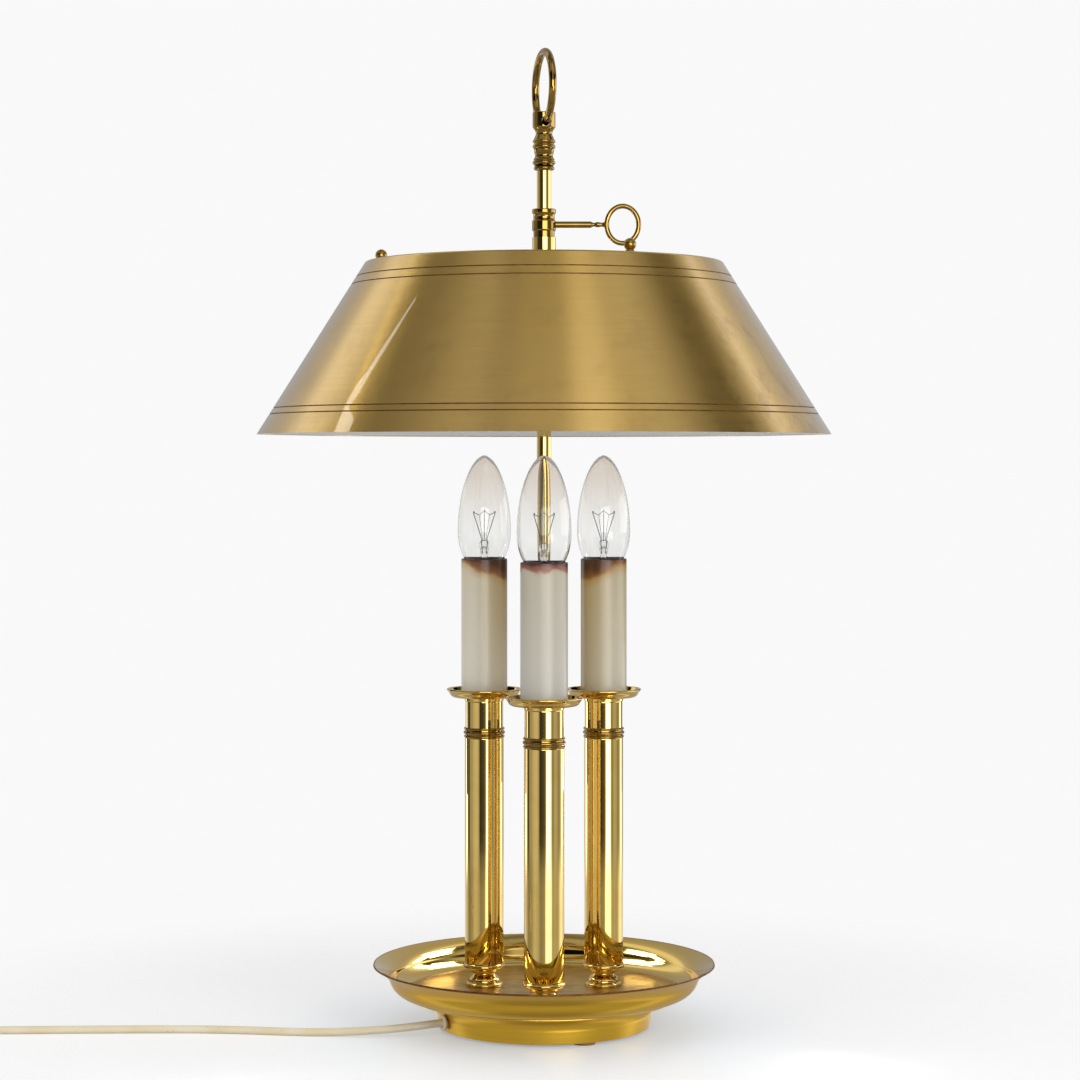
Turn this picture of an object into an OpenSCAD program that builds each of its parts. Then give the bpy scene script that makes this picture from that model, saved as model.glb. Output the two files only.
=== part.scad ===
// Bouillotte lamp: three brass candles on a dish base, a centre column with a
// carry ring, and a brass shade whose clamp slides on the column.
// Millimetres, +Z up, origin on the table under the column.

/* [Foot and dish] */
// Thickness of the felt pads under the foot
pad_t = 1.5; // [1:0.1:3]
// Diameter of a felt pad
pad_d = 14; // [10:0.5:16]
// Thickness of the spun brass sheet of foot and dish
sheet_t = 1; // [0.7:0.05:1.4]
// Diameter of the foot ring at its lower edge
foot_d = 137; // [130:1:142]
// Height of the foot ring, from its lower edge to the dish
foot_h = 19.5; // [18.5:0.5:26]
// Width by which the rolled edge on top of the foot ring stands out from its lower edge
foot_bead_w = 16.9; // [15:0.1:18]
// Diameter of the flat floor of the dish
dish_floor_d = 174; // [170:1:190]
// Radius of the bowl of the dish
dish_bowl_r = 13; // [11:0.5:16]
// Diameter of the rim of the dish
dish_d = 220; // [214:1:240]
// Height of the dish, from its underside to its rim
dish_h = 20; // [18:0.5:26]
// Thickness of the cast iron weight in the foot
weight_t = 8; // [5:0.5:9]
// Gap between the cast iron weight and the foot ring
weight_gap = 3.5; // [2.5:0.5:9]
// Thickness of the fibre cover under the foot
cover_t = 1; // [0.8:0.1:1.5]

/* [Candles] */
// Distance of each candle from the column
candle_r = 45; // [42:0.5:50]
// Height of the turned candle foot, from the dish floor to the tube
candle_foot_h = 14.8; // [13:0.2:20]
// Diameter of the collar at the top of the candle foot
candle_collar_d = 27.3; // [27:0.1:30]
// Diameter of the candle tube
tube_d = 25.4; // [23:0.1:26.4]
// Wall of the candle tube
tube_wall = 1; // [0.6:0.1:1.4]
// Length of the candle tube
tube_l = 170.9; // [120:1:220]
// Distance from the bead band's top to the tube's top
band_drop = 17.2; // [12:0.2:40]
// Height of the bead band round the tube
band_h = 6.8; // [5:0.2:9]
// Diameter of the drip pan
pan_d = 49; // [44:0.5:56]
// Depth of the drip pan, from its rim to its floor
pan_depth = 5; // [4:0.2:7]
// Outer diameter of the white candle sleeve
sleeve_d = 30; // [28.6:0.1:32]
// Wall of the candle sleeve
sleeve_wall = 1.7; // [1.2:0.1:1.9]
// Length of the candle sleeve
sleeve_l = 89.5; // [70:0.5:120]
// Diameter of the threaded tube that holds each candle together
stay_d = 10; // [8:0.1:10.4]
// Wall of that threaded tube
stay_wall = 1.2; // [0.8:0.1:1.6]

/* [Lampholders and bulbs] */
// Diameter of the lampholder body
holder_d = 25.8; // [22:0.1:26.2]
// Height of the lampholder body
holder_h = 40; // [36:0.5:46]
// Depth of the lampholder's rim below the sleeve's rim
holder_drop = 10; // [9:0.5:14]
// Diameter of the bulb's screw cap
cap_d = 13.9; // [13.5:0.05:14.2]
// Length of the bulb's screw cap
cap_l = 25; // [22:0.5:27]
// Largest diameter of the candle bulb
bulb_d = 34.6; // [30:0.1:38]
// Length of the bulb's glass from its cap to its tip
bulb_l = 79.3; // [74:0.5:84]
// Wall of the bulb's glass
glass_t = 0.6; // [0.4:0.05:0.9]

/* [Column and finial] */
// Diameter of the column
column_d = 9.2; // [9:0.1:10.4]
// Wall of the column
column_wall = 1.2; // [0.8:0.1:1.6]
// Height of the column's top over the table
column_top = 551.5; // [545:0.5:600]
// Diameter of the collar that holds the dish down
collar_d = 18; // [15:0.5:22]
// Height of that collar
collar_h = 7; // [5:0.5:12]
// Largest diameter of the finial
finial_d = 14.8; // [14:0.1:16]
// Diameter of the cross hole for the carry ring
ring_hole_d = 6.8; // [6.6:0.05:7.2]

/* [Carry ring] */
// Diameter of the ring's wire
ring_wire_d = 4.9; // [4:0.05:5]
// Diameter of the ring at the middle of its wire
ring_d = 45.8; // [44:0.2:54]
// Turn of the cross hole away from the front, in degrees
ring_turn = 14; // [0:1:30]

/* [Shade clamp] */
// Height of the clamp screw over the table
clamp_z = 516.6; // [500:0.5:524]
// Largest diameter of the clamp bush
bush_d = 15.5; // [15:0.1:18]
// Running clearance round the column
bush_clear = 0.05; // [0.02:0.01:0.1]
// Diameter of the bush's spigot in the shade's hub
spigot_d = 12.2; // [12:0.1:13]
// Running clearance round the spigot, and over and under the hub
hub_clear = 0.1; // [0.04:0.01:0.1]
// Diameter of the clamp screw
screw_d = 4.2; // [3.6:0.1:5]
// Length of the clamp screw's plain shank outside the bush
screw_l = 22.5; // [16:0.5:30]
// Height of the clamp screw's oval bow
bow_h = 26; // [22:0.5:30]
// Width of the clamp screw's oval bow
bow_w = 22.8; // [19:0.2:25]
// Diameter of the bow's wire
bow_wire_d = 3.2; // [2.6:0.1:4]

/* [Shade] */
// Diameter of the shade's lower edge
shade_bottom_d = 369; // [340:1:400]
// Diameter of the shade's upper edge
shade_top_d = 230; // [224:1:250]
// Height of the shade
shade_h = 110.7; // [90:0.5:130]
// Thickness of the shade's brass sheet
shade_t = 0.8; // [0.6:0.05:1.2]
// Drop of the shade's top below the clamp screw
shade_drop = 24.6; // [22:0.2:30]
// Width of the flange inside the shade's upper edge
shade_flange_w = 18; // [16:0.5:24]
// Distance of the ball nuts from the shade's upper edge
ball_inset = 10; // [8:0.2:12]
// Diameter of a ball nut
ball_d = 7.7; // [6:0.1:9]
// Diameter of the hub's barrel
hub_d = 15.2; // [14.8:0.1:18]
// Thickness of the spider's arms
arm_t = 3; // [2:0.2:4]
// Width of the spider's arms
arm_w = 10; // [8:0.5:12]

/* [Mains cord] */
// Diameter of the cord
cord_d = 5; // [4.6:0.1:5.2]
// Length of the inline switch
switch_l = 62; // [56:0.5:66]
// Width of the inline switch
switch_w = 26; // [22:0.5:30]
// Height of the inline switch's case
switch_h = 17; // [15:0.5:20]
// Diameter of a plug pin
pin_d = 4; // [4:0.1:4.8]
// Distance between the plug pins
pin_gap = 19; // [18:0.1:19.2]
// Length of a plug pin outside the plug's body
pin_l = 19; // [17:0.5:19]

/* [Hidden] */
$fn = 96;

brass = "goldenrod";
satin_brass = "darkgoldenrod";
ivory = "ivory";
iron = "dimgray";
steel = "silver";

eps = 0.01;                            // cutters run this far past what they cut
fit = 0.05;                            // clearance of a spigot or screw in its hole
slip = 0.1;                            // clearance of a rod through a plate
edge = 0.5;                            // small rounding on turned edges

// Heights over the table, from the foot up
foot_z = pad_t;
dish_z = foot_z + foot_h;              // underside of the dish
floor_z = dish_z + sheet_t;            // floor of the dish
tube_z = floor_z + candle_foot_h;
pan_z = tube_z + tube_l;               // seat of the drip pan's neck
pan_neck_h = 2.3;
pan_floor_z = pan_z + pan_neck_h + sheet_t;
sleeve_z = pan_floor_z;
sleeve_top = sleeve_z + sleeve_l;
holder_z = sleeve_top - holder_drop - holder_h;
cover_top = foot_z + cover_t;
weight_d = foot_d - 2 * (sheet_t + weight_gap);
foot_lip_r = weight_d / 2 - 12;        // inner edge of the foot's top flange
weight_z = dish_z - sheet_t - weight_t;
nut_h = 4;                             // thin nuts under the weight
stay_nut_w = 14;                       // width across the flats of the stays' nuts
washer_t = 1;
stub_l = 1.2;                          // thread that shows below a nut

stay_angles = [-90, 30, 150];          // azimuths of the candles
pad_angles = [-66, 54, 174];           // azimuths of the felt pads
arm_angles = [-60, 60, 180];           // azimuths of the spider's arms and the ball nuts
wire_angles = [35, 15, 70];            // turn of each bulb's filament

stay_r = stay_d / 2;
stay_bore = stay_r - stay_wall;
column_r = column_d / 2;
column_bore = column_r - column_wall;
pad_r = foot_d / 2 - pad_d / 2;        // centres of the felt pads

// ---------- shape helpers ----------

// Points on an arc of radius r about c, from angle a0 to a1
function arc(c, r, a0, a1, n = 8) =
    [for (i = [0 : n]) let (a = a0 + (a1 - a0) * i / n) c + r * [cos(a), sin(a)]];

function unit(v) = v / norm(v);
function step(p, i) = unit(p[i + 1] - p[i]);
// Direction of a path at point i, halfway between its neighbours' steps
function along(p, i) =
    i == 0 ? step(p, 0)
    : i == len(p) - 1 ? step(p, i - 1)
    : unit(step(p, i - 1) + step(p, i));
// Point i moved by t to the left of the path, with mitred corners
function left_of(p, i, t) =
    let (d = along(p, i), s = step(p, max(i - 1, 0)))
    p[i] + t / (d * s) * [-d.y, d.x];

// A wall of thickness t to the left of a path in the radius-height plane, spun
module spun(path, t) {
    n = len(path);
    rotate_extrude()
        polygon(concat(path, [for (i = [n - 1 : -1 : 0]) left_of(path, i, t)]));
}

// A solid turned from its outline, which runs from the axis to the axis
module turned(outline) {
    rotate_extrude() polygon(outline);
}

// A disc of radius r from z to z + h, with a fully rounded rim
module bead(r, z, h) {
    translate([0, 0, z]) {
        cylinder(r = r - h / 2, h = h);
        rotate_extrude()
            translate([r - h / 2, h / 2])
                intersection() {
                    circle(d = h);
                    translate([0, -h]) square([h, 2 * h]);
                }
    }
}

// A straight hole of radius r, from z0 to z1
module hole(r, z0, z1) {
    translate([0, 0, z0 - eps]) cylinder(r = r, h = z1 - z0 + 2 * eps);
}

// A hexagonal nut of width w across its flats, with a bore of radius r
module hex_nut(w, h, r) {
    difference() {
        cylinder(d = w / cos(30), h = h, $fn = 6);
        hole(r, 0, h);
    }
}

module at_candle(i) {
    rotate(stay_angles[i]) translate([candle_r, 0, 0]) rotate(-stay_angles[i]) children();
}

module at_candles() {
    for (i = [0 : 2]) at_candle(i) children();
}

// ---------- foot and dish ----------

module foot_ring() {
    skirt_r = foot_d / 2;
    skirt_h = 8;
    skirt_flare = 1.1;
    bead_r = sheet_t;
    cove_r = foot_h - 2 * bead_r - skirt_h;
    cove_c = [skirt_r + skirt_flare + cove_r, foot_z + skirt_h];
    outline = concat(
        [[foot_lip_r, dish_z]],
        arc([skirt_r + foot_bead_w - bead_r, dish_z - bead_r], bead_r, 90, -90, 8),
        arc(cove_c, cove_r, 90, 180, 12),
        [[skirt_r, foot_z], [skirt_r - sheet_t, foot_z]],
        arc(cove_c, cove_r + sheet_t, 180, 90, 12),
        [[foot_lip_r, dish_z - sheet_t]]);
    color(satin_brass)
        difference() {
            turned(outline);
            along_cord() hole(grommet_r + fit, skirt_r - skirt_h, skirt_r + skirt_h);
        }
}

module base_dish() {
    bowl_c = [dish_floor_d / 2, dish_z + dish_bowl_r];
    bowl_end = -14;                    // angle where the bowl turns out into the flare
    path = concat(
        [[column_r + slip, dish_z]],
        arc(bowl_c, dish_bowl_r, -90, bowl_end, 12),
        flare(bowl_c + dish_bowl_r * [cos(bowl_end), sin(bowl_end)],
              [dish_d / 2, dish_z + dish_h - sheet_t]));
    color(satin_brass)
        difference() {
            spun(path, sheet_t);
            at_candles() hole(stay_r + slip, dish_z, floor_z);
        }
}

// A curve that leaves p nearly upright and reaches q at 40 degrees
function flare(p, q, n = 6) =
    [for (i = [1 : n]) let (u = i / n)
        p + [(q.x - p.x) * (0.35 * u + 0.65 * u * u), (q.y - p.y) * u]];

module base_weight() {
    color(iron)
        difference() {
            union() {
                translate([0, 0, weight_z]) cylinder(d = weight_d, h = weight_t);
                translate([0, 0, weight_z]) cylinder(r = foot_lip_r - slip, h = weight_t + sheet_t);
            }
            hole(column_r + slip, weight_z, dish_z);
            at_candles() hole(stay_r + slip, weight_z, dish_z);
        }
}

module bottom_cover() {
    color("saddlebrown")
        translate([0, 0, foot_z]) cylinder(r = foot_d / 2 - sheet_t - slip, h = cover_t);
}

module felt_pads() {
    color("dimgray")
        for (a = pad_angles) rotate(a) translate([pad_r, 0, 0]) cylinder(d = pad_d, h = pad_t);
}

// ---------- candles ----------

module candle_foot(i) {
    base_r = candle_collar_d / 2 - 1.2;
    neck_r = base_r - 5.6;
    neck_z = 0.56 * candle_foot_h;
    collar_h = 0.22 * candle_foot_h;
    collar_z = candle_foot_h - collar_h;
    spigot_h = 4;
    outline = concat(
        [[0, 0], [base_r - edge, 0]],
        arc([base_r - 1.1, 1.1], 1.1, -60, 90, 6),
        [[base_r - 1.9, 2.7]],
        arc([neck_r, 2.7], base_r - 1.9 - neck_r, 0, 55, 6),
        arc([neck_r + 1.6, neck_z], 1.6, 200, 140, 4),
        arc([neck_r + 5.2, neck_z + 0.4], 3.2, 170, 95, 6),
        arc([candle_collar_d / 2 - collar_h / 2, collar_z + collar_h / 2],
            collar_h / 2, -90, 90, 8),
        [[tube_d / 2 - tube_wall - fit, candle_foot_h],
         [tube_d / 2 - tube_wall - fit, candle_foot_h + spigot_h],
         [0, candle_foot_h + spigot_h]]);
    color(brass)
        at_candle(i) translate([0, 0, floor_z])
            difference() {
                turned(outline);
                hole(stay_r + slip, 0, candle_foot_h + spigot_h);
            }
}

band_step = 0.4;                       // the tube is this much thinner above the band
band_z = pan_z - band_drop - band_h;

module candle_tube(i) {
    color(brass)
        at_candle(i)
            difference() {
                union() {
                    translate([0, 0, tube_z]) cylinder(d = tube_d, h = band_z - tube_z);
                    translate([0, 0, tube_z]) cylinder(r = tube_d / 2 - band_step, h = tube_l);
                }
                hole(tube_d / 2 - tube_wall, tube_z, pan_z);
            }
}

module bead_bands() {
    ring_h = band_h / 4;
    color(brass)
        at_candles()
            difference() {
                union() {
                    translate([0, 0, band_z]) cylinder(d = tube_d, h = band_h);
                    bead(tube_d / 2 + 0.6, band_z, ring_h);
                    bead(tube_d / 2 + 0.9, band_z + 1.5 * ring_h - 0.3, ring_h + 0.6);
                    bead(tube_d / 2 + 0.6, band_z + 3 * ring_h, ring_h);
                }
                hole(tube_d / 2 - band_step + fit, band_z, band_z + band_h);
            }
}

module drip_pan(i) {
    neck_r = tube_d / 2 + 0.1;
    rim_r = pan_d / 2;
    lip_r = 0.8;
    floor_r = rim_r - 5.5;
    rim_z = pan_floor_z - sheet_t + pan_depth;
    path = concat(
        [[stay_r + slip, pan_z + pan_neck_h]],
        arc([floor_r, pan_z + pan_neck_h + pan_depth - lip_r], pan_depth - lip_r, -90, -25, 8),
        [[rim_r - lip_r, rim_z - lip_r]]);
    color(brass)
        at_candle(i) {
            spun(path, sheet_t);
            rotate_extrude() translate([rim_r - lip_r, rim_z]) circle(r = lip_r, $fn = 32);
            difference() {
                union() {
                    translate([0, 0, pan_z]) cylinder(r = neck_r, h = pan_neck_h + eps);
                    translate([0, 0, pan_z - 3])
                        cylinder(r = tube_d / 2 - tube_wall - fit, h = 4);
                }
                hole(stay_r + slip, pan_z - 3, pan_z + pan_neck_h + eps);
            }
        }
}

module candle_sleeve(i) {
    r = sleeve_d / 2;
    lip = 0.8;
    color(ivory)
        at_candle(i)
            rotate_extrude()
                polygon(concat(
                    [[r - sleeve_wall, sleeve_z], [r, sleeve_z]],
                    arc([r - lip, sleeve_top - lip], lip, 0, 90, 6),
                    arc([r - sleeve_wall + 0.4, sleeve_top - 0.4], 0.4, 90, 180, 4)));
}

stay_z = weight_z - nut_h - washer_t - stub_l;
stay_top = holder_z + 8;

module stay_tubes() {
    color(steel)
        at_candles()
            difference() {
                translate([0, 0, stay_z]) cylinder(r = stay_r, h = stay_top - stay_z);
                hole(stay_bore, stay_z, stay_top);
            }
}

// Each stay's lower nut and washer are one flanged nut
module stay_nuts() {
    color(steel)
        at_candles() {
            translate([0, 0, weight_z - washer_t - nut_h]) hex_nut(stay_nut_w, nut_h, stay_r + fit);
            translate([0, 0, weight_z - washer_t])
                difference() {
                    cylinder(d = stay_nut_w + 3, h = washer_t);
                    hole(stay_r + fit, 0, washer_t);
                }
        }
}

pan_nut_h = 3;

module pan_nuts() {
    color(steel)
        at_candles() translate([0, 0, pan_floor_z]) hex_nut(stay_nut_w, pan_nut_h, stay_r + fit);
}

// ---------- lampholders and bulbs ----------

seat_z = holder_z + holder_h - cap_l;  // where the bulb's foot contact sits
cap_r = cap_d / 2;
shell_t = 0.5;
shell_r = cap_r + 0.3;                 // inside of the threaded shell
well_r = shell_r + shell_t + slip;
contact_t = 1.5;
contact_w = 6;

module lampholder(i) {
    color("darkslategray")
        at_candle(i)
            difference() {
                turned(concat(
                    [[0, holder_z], [holder_d / 2 - 1, holder_z], [holder_d / 2, holder_z + 1]],
                    arc([holder_d / 2 - 1.2, holder_z + holder_h - 1.2], 1.2, 0, 90, 5),
                    [[0, holder_z + holder_h]]));
                hole(stay_r + fit, holder_z, stay_top);
                hole(stay_bore, stay_top, seat_z - contact_t);
                hole(well_r, seat_z - contact_t, holder_z + holder_h);
            }
}

module holder_shells() {
    color(brass)
        at_candles()
            difference() {
                translate([0, 0, seat_z + 1]) cylinder(r = shell_r + shell_t, h = cap_l - 5);
                hole(shell_r, seat_z + 1, seat_z + 1 + cap_l - 5);
            }
}

module holder_contacts() {
    color(brass)
        at_candles()
            translate([0, 0, seat_z - contact_t])
                difference() {
                    cylinder(r = well_r - slip, h = contact_t);
                    for (s = [-1, 1])
                        translate([s * (contact_w / 2 + 10), 0, 0])
                            cube([20, 40, 4 * contact_t], center = true);
                }
}

glass_z = seat_z + cap_l - 2;          // the glass starts inside the cap's rim
bulb_top = glass_z + bulb_l;
belly_z = bulb_top - 0.625 * bulb_l;   // height of the widest part
neck_r = cap_r - 0.5;

// Radius of the glass at height z: a blunt candle flame over a short belly
function glass_r(z) =
    let (up = (z - belly_z) / (bulb_top - belly_z),
         down = (belly_z - z) / (0.91 * (belly_z - glass_z)))
    z > belly_z
        ? bulb_d / 2 * pow(max(0, 1 - up * up), 0.56)
        : max(neck_r, bulb_d / 2 * pow(max(0, 1 - down * down), 0.5));

// Heights for the outline, closer together near the tip
function glass_heights(z0, z1, n = 30) = [for (i = [0 : n]) z0 + (z1 - z0) * sin(90 * i / n)];

module bulb_glass(i) {
    outer = [for (z = glass_heights(glass_z, bulb_top)) [glass_r(z), z]];
    inner = [for (p = outer) [max(0, p.x - glass_t), glass_z + 1
                              + (p.y - glass_z) * (bulb_l - 1 - glass_t) / bulb_l]];
    color([0.9, 0.92, 0.92, 0.35])
        at_candle(i)
            difference() {
                turned(concat([[0, glass_z]], outer));
                turned(concat([[0, glass_z + 1]], inner));
            }
}

module bulb_cap(i) {
    pitch = 2.8;
    ridges = 5;
    color(steel)
        at_candle(i)
            difference() {
                turned(concat(
                    [[0, seat_z], [2.4, seat_z], [2.4, seat_z + 1], [5.4, seat_z + 3]],
                    [for (k = [0 : ridges - 1], s = [0 : 1])
                        [s == 0 ? cap_r - 0.45 : cap_r, seat_z + 4 + (k + s / 2) * pitch]],
                    [[cap_r - 0.2, seat_z + cap_l - 5], [cap_r - 0.2, seat_z + cap_l],
                     [0, seat_z + cap_l]]));
                hole(neck_r + fit, glass_z, seat_z + cap_l);
            }
}

stem_l = 24;                           // length of the glass stem inside the bulb
stem_top = glass_z + stem_l;
stem_r = 3.3;
hook_l = 18;                           // height of the filament's hooks over the stem

module bulb_stems() {
    color([0.85, 0.88, 0.88, 0.6])
        at_candles()
            turned([[0, glass_z + 1], [neck_r - 1.2, glass_z + 1], [2.4, glass_z + 6],
                    [2.4, stem_top - 7], [stem_r, stem_top - 4], [stem_r, stem_top - 1],
                    [stem_r - 1, stem_top], [0, stem_top]]);
}

// A straight wire of radius r between two points
module wire(a, b, r) {
    d = b - a;
    translate(a)
        rotate([0, acos(d.z / norm(d)), atan2(d.y, d.x)])
            cylinder(r = r, h = norm(d), $fn = 16);
}

module bulb_filaments() {
    lead_x = 6.6;
    hook_z = stem_top + hook_l;
    dip = 2.2;
    color(iron)
        for (i = [0 : 2])
            at_candle(i) rotate(wire_angles[i]) {
                for (s = [-1, 1]) {
                    wire([s * 2.2, 0, stem_top - 2], [s * lead_x, 0, hook_z], 0.25);
                    translate([s * lead_x, 0, hook_z]) sphere(r = 0.4, $fn = 16);
                    wire([s * lead_x, 0, hook_z], [s * lead_x / 2, 0, hook_z - dip], 0.2);
                    translate([s * lead_x / 2, 0, hook_z - dip]) sphere(r = 0.3, $fn = 16);
                    wire([s * lead_x / 2, 0, hook_z - dip], [0, 0, hook_z + 1.5], 0.2);
                }
                wire([0, 0, stem_top - 1], [0, 0, hook_z + 1.5], 0.15);
                translate([0, 0, hook_z + 1.5]) sphere(r = 0.35, $fn = 16);
            }
}

// ---------- column, finial and carry ring ----------

column_z = weight_z - nut_h - washer_t - stub_l;

module column() {
    color(brass)
        difference() {
            translate([0, 0, column_z]) cylinder(r = column_r, h = column_top - column_z);
            hole(column_bore, column_z, column_top);
        }
}

module column_collar() {
    r = collar_d / 2;
    color(brass)
        translate([0, 0, floor_z])
            difference() {
                turned(concat(
                    [[0, 0], [r, 0]],
                    arc([r - 1, 1.5], 1, -30, 90, 5),
                    arc([r, collar_h - 1.2], collar_h - 3.7, 230, 180, 5),
                    [[column_r + 1, collar_h], [0, collar_h]]));
                hole(column_r + fit, 0, collar_h);
            }
}

module column_washer() {
    color(steel)
        translate([0, 0, weight_z - washer_t])
            difference() {
                cylinder(d = 24, h = washer_t);
                hole(column_r + fit, 0, washer_t);
            }
}

module column_nut() {
    color(steel)
        translate([0, 0, weight_z - washer_t - nut_h]) hex_nut(16, nut_h, column_r + fit);
}

ring_hole_r = ring_hole_d / 2;
ring_z = column_top + 31.4;            // height of the cross hole, the ring's hinge
head_r = finial_d / 2;

module finial() {
    z = column_top;
    stud_l = 10;
    outline = concat(
        [[0, z]],
        arc([head_r - 2.1, z + 1.4], 1.4, -90, 90, 6),
        [[head_r - 0.9, z + 3.1]],
        arc([head_r - 1.3, z + 5], 1.3, -75, 75, 6),
        arc([head_r + 1.6, z + 9.6], 3.2, 230, 150, 8),
        [[head_r - 0.8, z + 13.6]],
        arc([head_r - 1.5, z + 15.4], 1.5, -75, 75, 6),
        [[head_r - 1, z + 17.3]],
        arc([head_r - 1.2, z + 18.7], 1.2, -70, 60, 6),
        arc([head_r + 1, z + 23.8], 3.1, 215, 150, 6),
        arc([head_r - 1.4, ring_z - 3.2], 1.4, -60, 0, 4),
        arc([head_r - edge, ring_z + 6.1 - edge], edge, 0, 90, 4),
        [[0, ring_z + 6.1]]);
    color(brass)
        difference() {
            union() {
                turned(outline);
                translate([0, 0, z - stud_l]) cylinder(r = column_bore - fit, h = stud_l + 1);
            }
            translate([0, 0, ring_z])
                rotate(ring_turn) rotate([90, 0, 0])
                    cylinder(r = ring_hole_r, h = finial_d + 2, center = true);
        }
}

// The wire passes through the cross hole, so its lowest point hangs a little below the hinge
ring_sag = 0.6;

module carry_ring() {
    color(brass)
        translate([0, 0, ring_z + ring_d / 2 - ring_sag])
            rotate(ring_turn) rotate([0, 90, 0])
                rotate_extrude() translate([ring_d / 2, 0]) circle(d = ring_wire_d, $fn = 48);
}

// ---------- shade clamp ----------

shade_top = clamp_z - shade_drop;
hub_top = clamp_z - 8.3;               // the bush's shoulder rests on the hub
hub_z = shade_top - 5;                 // lower end of the hub
hub_nut_h = 3;
bush_bore = column_r + bush_clear;
screw_r = screw_d / 2;

module clamp_bush() {
    r = bush_d / 2;
    z = clamp_z;
    outline = concat(
        [[0, hub_z - hub_clear - hub_nut_h], [spigot_d / 2, hub_z - hub_clear - hub_nut_h],
         [spigot_d / 2, hub_top + hub_clear], [r - 0.9, hub_top + hub_clear]],
        [[r - 0.9, z - 4.4]],
        arc([r - 1.2, z - 3.2], 1.2, -70, 0, 5),
        arc([r - 1, z + 1.9], 1, 0, 70, 4),
        [[r - 0.85, z + 3.4], [r - 0.85, z + 6.4]],
        arc([r - 0.8, z + 7.7], 0.8, -70, 0, 4),
        arc([r - 0.8, z + 9.3], 0.8, 0, 90, 4),
        [[0, z + 10.1]]);
    color(brass)
        difference() {
            turned(outline);
            hole(bush_bore, hub_z - 10, z + 11);
            translate([0, 0, z]) rotate([0, 90, 0]) cylinder(r = screw_r + fit, h = bush_d);
        }
}

module hub_nut() {
    color(brass)
        translate([0, 0, hub_z - hub_clear - hub_nut_h])
            difference() {
                cylinder(r = hub_d / 2 + 0.8, h = hub_nut_h);
                hole(spigot_d / 2 + fit, 0, hub_nut_h);
                for (a = [0, 180])
                    rotate(a) translate([hub_d / 2, -1, -eps]) cube([2, 2, hub_nut_h + 1]);
            }
}

// The bow is an oval of round wire, swept as one closed tube
bow_a = (bow_h - bow_wire_d) / 2;      // half height at the middle of the wire
bow_b = (bow_w - bow_wire_d) / 2;      // half width at the middle of the wire

module bow() {
    turns = 48;
    sides = 16;
    rings = [for (i = [0 : turns - 1]) let (
            a = 360 * i / turns,
            middle = [bow_b * cos(a), 0, bow_a * sin(a)],
            out = unit([bow_a * cos(a), 0, bow_b * sin(a)]))
        for (k = [0 : sides - 1]) let (b = 360 * k / sides)
            middle + bow_wire_d / 2 * (cos(b) * out + [0, sin(b), 0])];
    polyhedron(points = rings, faces = [
        for (i = [0 : turns - 1], k = [0 : sides - 1]) let (
            j = (i + 1) % turns, m = (k + 1) % sides)
        [i * sides + k, j * sides + k, j * sides + m, i * sides + m]]);
}

screw_x = column_r + slip;             // tip of the clamp screw
shank_x = bush_d / 2 + screw_l;        // outer end of its plain shank
bow_x = shank_x + 8.6 + bow_w / 2;     // centre of the bow

module clamp_screw() {
    r = screw_r;
    outline = concat(
        [[0, screw_x], [r, screw_x], [r, shank_x], [r - 0.6, shank_x + 1.2]],
        arc([r - 1, shank_x + 4.3], 1.15, -80, 80, 6),
        [[r - 0.75, shank_x + 6.4], [r - 0.6, shank_x + 8],
         [r - 0.3, shank_x + 9.4], [0, shank_x + 9.4]]);
    color(brass) {
        translate([0, 0, clamp_z]) rotate([0, 90, 0]) turned(outline);
        translate([bow_x, 0, clamp_z]) bow();
    }
}

// ---------- shade ----------

shade_z = shade_top - shade_h;
bend_r = 2;                            // rounding from the shade's wall into its flange
shade_slope = atan((shade_bottom_d - shade_top_d) / 2 / shade_h);
line_heights = [0.115, 0.15, 0.865, 0.912];   // engraved lines, as shares of the height
line_depth = 0.25;
line_w = 0.7;

module shade() {
    // the wall's outer face, from its lower edge up and over into the flange
    top = shade_top_d / 2;
    path = concat(
        [[shade_bottom_d / 2, shade_z]],
        arc([top - bend_r * cos(shade_slope) + bend_r * tan(shade_slope) * (1 - sin(shade_slope)),
             shade_top - bend_r], bend_r, shade_slope, 90, 6),
        [[top - shade_flange_w, shade_top]]);
    color(satin_brass)
        difference() {
            spun(path, shade_t);
            for (u = line_heights)
                rotate_extrude()
                    translate([shade_bottom_d / 2
                               - u * (shade_bottom_d - shade_top_d) / 2, shade_z + u * shade_h])
                        rotate(shade_slope)
                            translate([-line_depth, -line_w / 2]) square([2, line_w]);
            at_balls() hole(stud_r + slip, shade_top - shade_t, shade_top);
        }
}

stud_r = 2;
stud_l = 4;                            // stud above the flange
ball_r = shade_top_d / 2 - ball_inset; // distance of the ball nuts from the column

module at_balls() {
    for (a = arm_angles) rotate(a) translate([ball_r, 0, 0]) children();
}

// Hub, three arms under the flange and a stud at the end of each arm
module spider() {
    arm_top = shade_top - shade_t;
    color(brass)
        difference() {
            union() {
                translate([0, 0, hub_z]) cylinder(d = hub_d, h = hub_top - hub_z);
                for (a = arm_angles)
                    rotate(a) translate([0, -arm_w / 2, arm_top - arm_t])
                        cube([ball_r, arm_w, arm_t]);
                at_balls() {
                    translate([0, 0, arm_top - arm_t]) cylinder(d = arm_w, h = arm_t);
                    translate([0, 0, arm_top - eps])
                        cylinder(r = stud_r, h = shade_t + stud_l + eps);
                }
            }
            hole(spigot_d / 2 + hub_clear, hub_z, hub_top);
        }
}

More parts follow.
